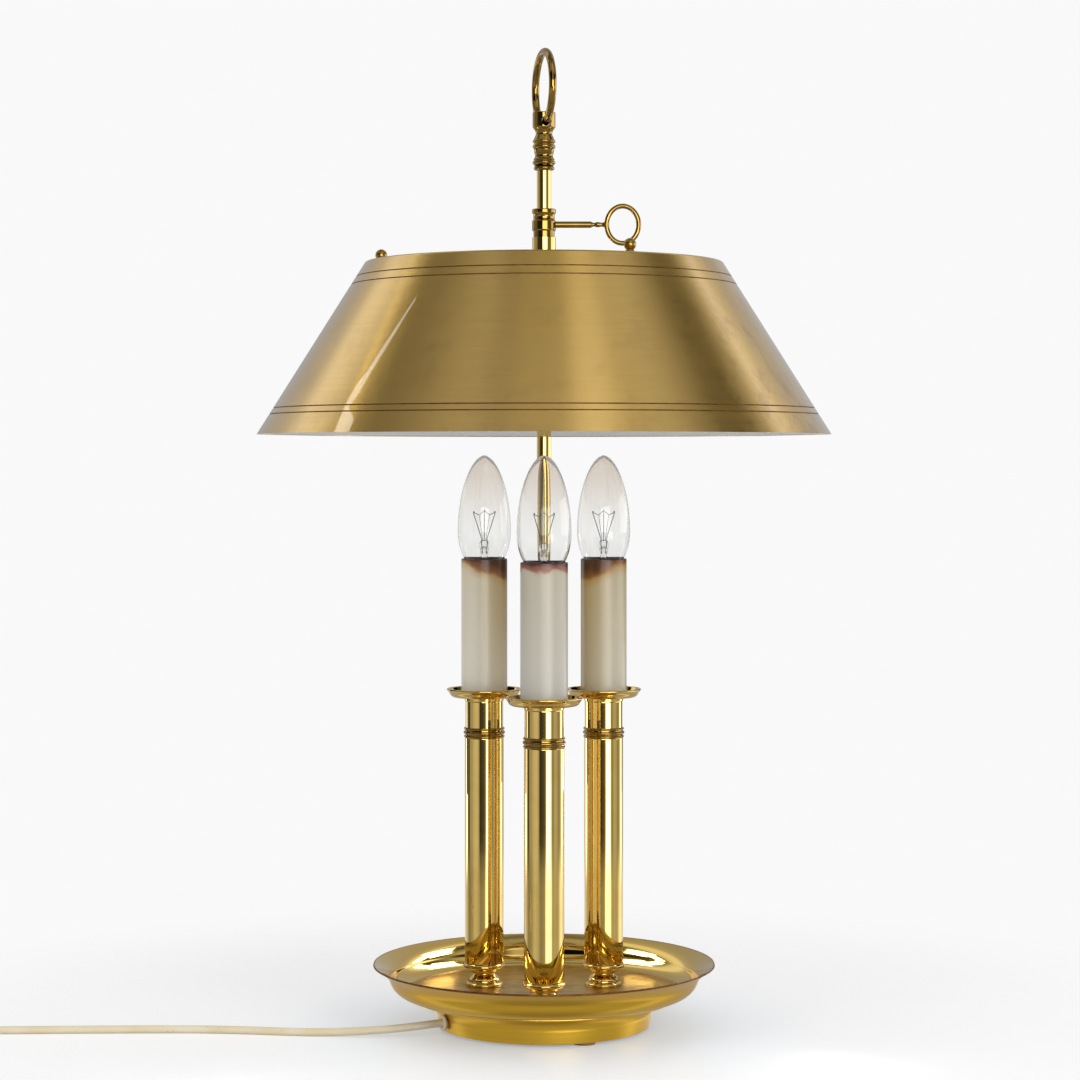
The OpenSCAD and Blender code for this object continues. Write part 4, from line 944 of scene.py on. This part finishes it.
def plated(name, light, dark, rough=(0.12, 0.25)):
    """Plated or drawn metal with a fine uneven gloss."""
    material, tree, shader = new_material(name)
    set_inputs(shader, tree,
               {"Base Color": two_tone(tree, 5, 5, light, dark), "Metallic": 1.0,
                "Roughness": uneven(tree, 3, rough),
                "Normal": add(tree, "ShaderNodeBump",
                              {"Height": blotches(tree, 0.8, 3), "Distance": 0.004 * MM})[0]})
    return material


def moulded(name, light, dark, rough=(0.35, 0.5), grain=0.7, depth=0.02, ior=1.5):
    """Moulded or cast stuff: a grain of its own size in millimetres, slightly uneven in tone."""
    material, tree, shader = new_material(name)
    set_inputs(shader, tree,
               {"Base Color": two_tone(tree, 8, 6, light, dark), "IOR": ior,
                "Roughness": uneven(tree, 5, rough),
                "Normal": add(tree, "ShaderNodeBump",
                              {"Height": blotches(tree, grain, 3), "Distance": depth * MM})[0]})
    return material


def felt():
    """Brown wool felt: matted fibres about 0.4 mm across, with a soft nap."""
    material, tree, shader = new_material("wool_felt")
    fibres = blotches(tree, 0.5, 6, (3, 1, 1), 0.7)
    set_inputs(shader, tree,
               {"Base Color": add(tree, "ShaderNodeMix",
                                  {"Factor": add(tree, "ShaderNodeMapRange",
                                                 {"Value": fibres, "From Min": 0.35,
                                                  "From Max": 0.7})[0], "A": paint("B58E60"),
                                   "B": paint("96734A")}, data_type="RGBA")["Result"],
                "Roughness": add(tree, "ShaderNodeMapRange",
                                 {"Value": fibres, "From Min": 0.3, "From Max": 0.7,
                                  "To Min": 0.85})[0], "Sheen Weight": 0.4,
                "Normal": add(tree, "ShaderNodeBump",
                              {"Height": fibres, "Distance": 0.25 * MM})[0]})
    return material


def cord_pvc():
    """Extruded PVC sheath, once white, gone cream-grey, with brown flecks from handling."""
    material, tree, shader = new_material("cord_pvc")
    colour = two_tone(tree, 30, 6, "FFF2D4", "F6E4BA")
    flecks = add(tree, "ShaderNodeMapRange",
                 {"Value": blotches(tree, 3, 6, rough=0.75), "From Min": 0.6, "From Max": 0.74,
                  "To Max": 0.7}, interpolation_type="SMOOTHSTEP")[0]
    colour = add(tree, "ShaderNodeMix", {"Factor": flecks, "A": colour, "B": paint("A97F4C")},
                 data_type="RGBA")["Result"]
    set_inputs(shader, tree,
               {"Base Color": colour, "IOR": 1.53, "Roughness": uneven(tree, 6, (0.38, 0.55)),
                "Normal": add(tree, "ShaderNodeBump",
                              {"Height": blotches(tree, 3, 3), "Distance": 0.05 * MM})[0]})
    return material


# ---------- studio ----------

# Level of light from each azimuth, in degrees from the camera's side towards the right: on
# the table, round the lamp and over it. The gap in front is where the camera stands.
ROUND_TABLE = (
    (-180, 0.9), (-135, 0.85), (-118, 0.65), (-108, 0.45), (-98, 0.28), (-85, 0.36),
    (-72, 0.45), (-62, 0.66), (-50, 0.72), (-36, 0.6), (-28, 0.5), (-23, 0.34), (-12, 0.36),
    (2, 0.42), (7, 0.8), (12, 3.0), (38, 3.0), (44, 0.9), (52, 0.5), (64, 0.6), (76, 0.54),
    (88, 0.55), (96, 0.9), (104, 1.3), (116, 1.6), (128, 1.2), (140, 0.85), (180, 0.9))
ROUND_FLOOR = ((-180, 0.45), (-125, 0.45), (-108, 0.9), (-94, 0.4), (0, 0.44), (94, 0.42),
               (108, 1.0), (122, 0.45))
ROUND_LOW = (
    (-180, 0.6), (-150, 0.62), (-137, 0.7), (-132, 3.2), (-121, 3.2), (-114, 0.5),
    (-107, 0.06), (-98, 0.08), (-91, 0.46), (-76, 0.47), (-62, 0.68), (-42, 0.74), (-34, 0.58),
    (-29, 0.3), (-24, 0.04), (-6, 0.08), (4, 0.13), (11, 0.5), (16, 6.0), (36, 6.0),
    (40, 1.4), (44, 0.5), (52, 0.3), (62, 0.58), (76, 0.54), (86, 0.45), (92, 0.25),
    (99, 0.42), (110, 0.6), (118, 3.0), (128, 2.8), (134, 0.55))
ROUND_MIDDLE = (
    (-180, 0.35), (-142, 0.4), (-131, 0.9), (-119, 0.9), (-112, 0.38), (-84, 0.38), (-74, 0.28),
    (-62, 0.06), (-50, 0.04), (-15, 0.04), (-11, 4.5), (24, 4.5), (33, 1.2), (40, 0.18),
    (56, 0.2), (68, 0.28), (75, 0.9), (80, 2.2), (104, 2.4), (134, 2.2), (144, 0.4))
ROUND_HIGH = (
    (-180, 0.36), (-150, 0.44), (-138, 0.55), (-131, 1.0), (-124, 1.05), (-117, 0.9),
    (-111, 0.4), (-104, 0.16), (-96, 0.16), (-88, 0.21), (-76, 0.31), (-62, 0.44),
    (-46, 0.54), (-30, 0.48), (-14, 0.58), (11, 0.67), (17, 0.85), (23, 1.1), (32, 1.14),
    (42, 0.94), (50, 0.66), (58, 0.6), (68, 0.64), (78, 0.55), (88, 0.32), (98, 0.1),
    (110, 0.06), (118, 0.36), (126, 1.2), (133, 0.6), (142, 0.48))


LEVEL_SHARE = 4.0  # a ramp holds this share of each level, and the world multiplies it back
GLOW = 0.355  # the table's own light
WHITE = "F9F9F9"  # the background


def ring_of_light(tree, turn, levels):
    """A level for each azimuth, as the grey of a ramp."""
    grey = add(tree, "ShaderNodeValToRGB", {0: turn})["Color"]
    stops = grey.node.color_ramp.elements
    while len(stops) < len(levels):
        stops.new(0.5)
    for stop, (azimuth, level) in zip(stops, levels):
        stop.position = (azimuth + 180) / 360
        stop.color = [level / LEVEL_SHARE] * 3 + [1]
    return grey


def make_world():
    world = bpy.data.worlds.new("studio")
    bpy.context.scene.world = world
    world.use_nodes = True
    tree = world.node_tree
    background = tree.nodes["Background"]
    way = add(tree, "ShaderNodeSeparateXYZ", {0: add(tree, "ShaderNodeTexCoord")["Generated"]})
    front = add(tree, "ShaderNodeMath", {0: way["Y"], 1: -1.0}, operation="MULTIPLY")[0]
    turn = add(tree, "ShaderNodeMath", {0: way["X"], 1: front}, operation="ARCTAN2")[0]
    turn = add(tree, "ShaderNodeMath", {0: turn, 1: 180 / math.pi}, operation="MULTIPLY")[0]
    rise = add(tree, "ShaderNodeMath", {0: way["Z"]}, operation="ARCSINE")[0]
    rise = add(tree, "ShaderNodeMath", {0: rise, 1: 180 / math.pi}, operation="MULTIPLY")[0]
    share = add(tree, "ShaderNodeMapRange", {"Value": turn, "From Min": -180, "From Max": 180})[0]
    low = ring_of_light(tree, share, ROUND_LOW)
    over = ring_of_light(tree, share, ROUND_MIDDLE)
    high = ring_of_light(tree, share, ROUND_HIGH)
    table = ring_of_light(tree, share, ROUND_TABLE)
    near = ring_of_light(tree, share, ROUND_FLOOR)
    seen = add(tree, "ShaderNodeMix",
               {"Factor": add(tree, "ShaderNodeMapRange",
                              {"Value": rise, "From Min": -18, "From Max": -12},
                              interpolation_type="SMOOTHSTEP")[0], "A": near, "B": table},
               data_type="RGBA")["Result"]
    seen = add(tree, "ShaderNodeMix",
               {"Factor": add(tree, "ShaderNodeMapRange",
                              {"Value": rise, "From Min": -8.8, "From Max": -7.6},
                              interpolation_type="SMOOTHSTEP")[0], "A": seen, "B": low},
               data_type="RGBA")["Result"]
    dim = add(tree, "ShaderNodeMapRange",
              {"Value": rise, "From Min": 12, "From Max": 18, "To Min": 1, "To Max": 0.14},
              interpolation_type="SMOOTHSTEP")[0]
    over = add(tree, "ShaderNodeVectorMath", {0: over, "Scale": dim}, operation="SCALE")[0]
    seen = add(tree, "ShaderNodeMix",
               {"Factor": add(tree, "ShaderNodeMapRange",
                              {"Value": rise, "From Min": -3.8, "From Max": -2},
                              interpolation_type="SMOOTHSTEP")[0], "A": seen, "B": over},
               data_type="RGBA")["Result"]
    # the high lights hang lower the further round they stand
    aside = add(tree, "ShaderNodeMath", {0: turn}, operation="ABSOLUTE")[0]
    reach = add(tree, "ShaderNodeMath", {0: aside, 1: 0.33, 2: rise}, operation="MULTIPLY_ADD")[0]
    seen = add(tree, "ShaderNodeMix",
               {"Factor": add(tree, "ShaderNodeMapRange",
                              {"Value": reach, "From Min": 46, "From Max": 53},
                              interpolation_type="SMOOTHSTEP")[0], "A": seen, "B": high},
               data_type="RGBA")["Result"]
    shadow = [0.26 / LEVEL_SHARE] * 3 + [1]
    seen = add(tree, "ShaderNodeMix",
               {"Factor": add(tree, "ShaderNodeMapRange",
                              {"Value": rise, "From Min": -74, "From Max": -62, "To Min": 1,
                               "To Max": 0}, interpolation_type="SMOOTHSTEP")[0], "A": seen,
                "B": shadow}, data_type="RGBA")["Result"]
    ceiling = [0.22 / LEVEL_SHARE] * 3 + [1]
    seen = add(tree, "ShaderNodeMix",
               {"Factor": add(tree, "ShaderNodeMapRange",
                              {"Value": rise, "From Min": 62, "From Max": 70},
                              interpolation_type="SMOOTHSTEP")[0], "A": seen, "B": ceiling},
               data_type="RGBA")["Result"]
    seen = add(tree, "ShaderNodeVectorMath", {0: seen, "Scale": LEVEL_SHARE}, operation="SCALE")[0]
    ray = add(tree, "ShaderNodeLightPath")
    plain = paint(WHITE)
    soft_light = [0.55, 0.55, 0.555, 1]
    # what a reflection shows, and an even light for everything else
    fresh = add(tree, "ShaderNodeMath", {0: ray["Diffuse Depth"], 1: 0.5}, operation="LESS_THAN")[0]
    mirrored = add(tree, "ShaderNodeMath", {0: ray["Is Glossy Ray"], 1: fresh},
                   operation="MULTIPLY")[0]
    # little of it comes back from the brass to the table
    colour = add(tree, "ShaderNodeMix",
                 {"Factor": ray["Is Glossy Ray"], "A": soft_light, "B": [0.13, 0.15, 0.26, 1]},
                 data_type="RGBA")["Result"]
    colour = add(tree, "ShaderNodeMix", {"Factor": mirrored, "A": colour, "B": seen},
                 data_type="RGBA")["Result"]
    clear = add(tree, "ShaderNodeMath", {0: ray["Is Camera Ray"], 1: ray["Is Transmission Ray"]},
                operation="MAXIMUM")[0]
    colour = add(tree, "ShaderNodeMix", {"Factor": clear, "A": colour, "B": plain},
                 data_type="RGBA")["Result"]
    tree.links.new(colour, background.inputs["Color"])


def make_floor():
    """A pale table. Far out it is the white of the background, and it never dims the lamp's
    shadow; reflections look through it at the studio's own table."""
    material, tree, shader = new_material("pale_table")
    place = add(tree, "ShaderNodeNewGeometry")["Position"]
    far = add(tree, "ShaderNodeVectorMath", {0: place}, operation="LENGTH")["Value"]
    ray = add(tree, "ShaderNodeLightPath")
    grain = add(tree, "ShaderNodeMapRange",
                {"Value": blotches(tree, 40, 3), "From Min": 0.3, "From Max": 0.7})[0]
    # painted shade: near the lamp, fading out between 0.12 and 0.19 m, the table is painted a
    # cooler tone and glows cooler, to cancel the warm light the brass throws on it
    painted_cool_near = add(tree, "ShaderNodeMapRange",
                {"Value": far, "From Min": 0.12, "From Max": 0.19, "To Min": 1, "To Max": 0},
                interpolation_type="SMOOTHSTEP")[0]
    set_inputs(shader, tree,
               {"Base Color": add(tree, "ShaderNodeMix",
                                  {"Factor": painted_cool_near,
                                   "A": add(tree, "ShaderNodeMix",
                                            {"Factor": grain, "A": paint("F0F0F0"),
                                             "B": paint("EEEEEE")}, data_type="RGBA")["Result"],
                                   "B": paint("EDEFF1")}, data_type="RGBA")["Result"],
                "Roughness": 0.4, "Specular IOR Level": 0.2,
                "Emission Color": add(tree, "ShaderNodeMix",
                                      {"Factor": painted_cool_near, "A": paint("FFFFFF"),
                                       "B": paint("F7FBFF")}, data_type="RGBA")["Result"]})
    glow = add(tree, "ShaderNodeMath", {0: ray["Is Diffuse Ray"], 1: -GLOW, 2: GLOW},
               operation="MULTIPLY_ADD")[0]
    set_inputs(shader, tree, {"Emission Strength": glow})
    sky = add(tree, "ShaderNodeEmission", {"Color": paint(WHITE), "Strength": 1.0})[0]
    air = add(tree, "ShaderNodeBsdfTransparent")[0]
    fade = add(tree, "ShaderNodeMapRange", {"Value": far, "From Min": 0.24, "From Max": 0.52},
               interpolation_type="SMOOTHSTEP")[0]
    fade = add(tree, "ShaderNodeMath", {0: fade, 1: ray["Is Camera Ray"]}, operation="MULTIPLY")[0]
    surface = add(tree, "ShaderNodeMixShader", {0: fade, 1: shader.outputs[0], 2: sky})[0]
    surface = add(tree, "ShaderNodeMixShader",
                  {0: ray["Is Glossy Ray"], 1: surface, 2: air})[0]
    tree.links.new(surface, tree.nodes["Material Output"].inputs["Surface"])
    size = 12
    mesh = bpy.data.meshes.new("table")
    mesh.from_pydata([(-size, -size, 0), (size, -size, 0), (size, size, 0), (-size, size, 0)],
                     [], [(0, 1, 2, 3)])
    mesh.materials.append(material)
    table = in_scene("table", mesh)


def make_lamp(name, place, target, size, watts, glossy):
    data = bpy.data.lights.new(name, "AREA")
    data.shape = "RECTANGLE"
    data.size, data.size_y = size
    data.energy = watts
    lamp = in_scene(name, data, place)
    lamp.rotation_euler = (Vector(target) - Vector(place)).to_track_quat("-Z", "Y").to_euler()
    lamp.visible_camera = False
    lamp.visible_glossy = glossy
    lamp.visible_transmission = False


# middle of the strip light and half its width, in metres, from its thin end
STRIP = [(-1.417, 0.145, 1.926), (-1.442, 0.190, 1.892), (-1.468, 0.236, 1.851),
         (-1.491, 0.279, 1.811), (-1.519, 0.336, 1.759), (-1.541, 0.374, 1.715),
         (-1.560, 0.440, 1.664), (-1.571, 0.456, 1.640), (-1.578, 0.440, 1.632),
         (-1.576, 0.361, 1.663), (-1.563, 0.237, 1.710)]
STRIP_HALF = (0.003, 0.006, 0.009, 0.012, 0.015, 0.019, 0.022, 0.024, 0.024, 0.022, 0.016)


def lit_sheet(name, corners, faces, strength, nearest=0.0):
    """A glowing sheet that only clean reflections show, from nearest metres away or further:
    it throws no light on the table."""
    material = bpy.data.materials.new(name)
    material.use_nodes = True
    tree = material.node_tree
    ray = add(tree, "ShaderNodeLightPath")
    level = add(tree, "ShaderNodeMath", {0: ray["Diffuse Depth"], 1: 0.5},
                operation="LESS_THAN")[0]
    level = add(tree, "ShaderNodeMath", {0: level, 1: strength}, operation="MULTIPLY")[0]
    away = add(tree, "ShaderNodeMath", {0: ray["Ray Length"], 1: nearest},
               operation="GREATER_THAN")[0]
    level = add(tree, "ShaderNodeMath", {0: level, 1: away}, operation="MULTIPLY")[0]
    glow = add(tree, "ShaderNodeEmission", {"Color": [1, 1, 1, 1], "Strength": level})[0]
    tree.links.new(glow, tree.nodes["Material Output"].inputs["Surface"])
    mesh = bpy.data.meshes.new(name)
    mesh.from_pydata(corners, [], faces)
    mesh.materials.append(material)
    sheet = in_scene(name, mesh)
    sheet.visible_camera = False
    sheet.visible_transmission = False
    sheet.visible_diffuse = False
    sheet.visible_shadow = False
    return sheet


def make_strip():
    """A thin tapered light whose sharp reflection runs down the shade's lacquer."""
    line = [Vector(p) for p in STRIP]
    corners = []
    for i, (point, half) in enumerate(zip(line, STRIP_HALF)):
        way = (line[min(i + 1, len(line) - 1)] - line[max(i - 1, 0)]).normalized()
        across = way.cross(point - Vector((-0.1, -0.12, 0.42))).normalized()
        corners += [point - across * half, point + across * half]
    lit_sheet("strip_light", corners, [(2 * i, 2 * i + 1, 2 * i + 3, 2 * i + 2)
                                       for i in range(len(line) - 1)], 3.2)


def make_softbox(name, place, size, roll):
    """A small softbox beside the lamp, aimed across the dish at the far wall, whose polish
    shows it. It is too near to show in the sleeves."""
    wide, high = size[0] / 2, size[1] / 2
    box = lit_sheet(name, [(-wide, -high, 0), (wide, -high, 0), (wide, high, 0),
                           (-wide, high, 0)], [(0, 1, 2, 3)], 8, 0.34)
    target = (-math.copysign(0.085, place[0]), 0, 0.03)
    aim = (Vector(target) - Vector(place)).to_track_quat("-Z", "Y").to_matrix()
    box.rotation_euler = (aim @ Matrix.Rotation(math.radians(roll), 3, "Z")).to_euler()
    box.location = place


# ---------- the lamp ----------

make_camera()
cord_finish = cord_pvc()
make_cords(cord_finish)

brass = turned_brass("polished_brass", "E6C364", "DCB856", "A07430", (0.02, 0.06), 0.6)
# painted shade: a darker, browner copy of the polished brass, for the finial, lifting ring, bead
# bands and clamp where they show darker reflections
shaded_brass = turned_brass("shaded_polished_brass", "A27E2A", "86681E", "523C14", (0.03, 0.08), 0.3)
dull_ball = turned_brass("handled_brass", "BA923C", "A07C30", "6A4E1E", (0.24, 0.34), 0.2)
sheet = spun_brass()
# the dark engraved brass also paints shade on the outside of the dish's rim edge
dull_brass = engraved_brass()
satin = satin_brass()
glass = lamp_glass("lamp_glass", "BAB4AA", 60.0)
stem_glass = lamp_glass("stem_glass", "D5DAD8", 30.0)
nickel = plated("nickel_plate", "D8D6CE", "BFBBB0")
dark_wire = plated("oxidised_nickel", "625A4E", "463F36", (0.3, 0.45))
tungsten = plated("tungsten_wire", "6A6662", "4C4946", (0.3, 0.45))
sleeves = [scorched_plastic(i) for i in range(3)]

make_dish(sheet, dull_brass)
make_foot(sheet)
make_grommet(moulded("cream_pvc", "FFF3D8", "FAEBC8", (0.3, 0.45)))
make_column(brass)
make_finial(shaded_brass)
make_carry_ring(shaded_brass)
for i in range(3):
    make_candle(i, brass, shaded_brass, sleeves)
    make_bulb(i, glass, stem_glass, dark_wire, tungsten)
make_shade(satin, white_paint(), dull_brass)
make_ball_nuts(dull_ball)
make_clamp(shaded_brass)

switch_white = moulded("switch_plastic", "DEDACE", "D3CDBD", (0.3, 0.42))
for material, names in (
        (moulded("cast_iron", "4A4845", "2F2D2B", (0.6, 0.8), 1.2, 0.12), ["base_weight"]),
        (moulded("fibre_board", "7A5A3C", "64472D", (0.7, 0.85), 1.0, 0.05), ["bottom_cover"]),
        (felt(), ["felt_pads"]),
        (plated("zinc_plated_steel", "B9BCC0", "9DA0A5", (0.25, 0.4)),
         ["column_washer", "column_nut", "stay_tubes", "stay_nuts", "pan_nuts",
          "switch_screws"]),
        (moulded("black_phenolic", "2A2624", "1D1A19", (0.25, 0.4)),
         ["lampholder_1", "lampholder_2", "lampholder_3"]),
        (brass, ["holder_shells", "holder_contacts", "hub_nut", "spider"]),
        (nickel, ["bulb_cap_1", "bulb_cap_2", "bulb_cap_3", "plug_pins"]),
        (moulded("lead_pvc", "E2DED4", "D2CDC0"), ["inner_leads", "terminal_block"]),
        (switch_white, ["switch_base", "switch_cover", "switch_rocker", "plug_body"])):
    for name in names:
        data = nodes[name].data
        data.materials.clear()
        data.materials.append(material)

make_world()
make_floor()
make_lamp("key", (1.06, -1.26, 0.85), (0, 0, 0.25), (1.0, 1.0), 9, False)
make_lamp("fill", (-1.0, -0.9, 0.5), (0, 0, 0.1), (0.6, 0.6), 2.6, False)
make_strip()
make_softbox("softbox_right", (0.215, 0.16, 0.286), (0.17, 0.12), 30)
make_softbox("wing_right", (0.205, 0.2, 0.19), (0.06, 0.16), 0)
make_softbox("softbox_left", (-0.243, 0.088, 0.286), (0.17, 0.12), -30)
make_softbox("wing_left", (-0.233, 0.128, 0.19), (0.06, 0.16), 0)
bpy.context.scene.view_settings.view_transform = "Standard"
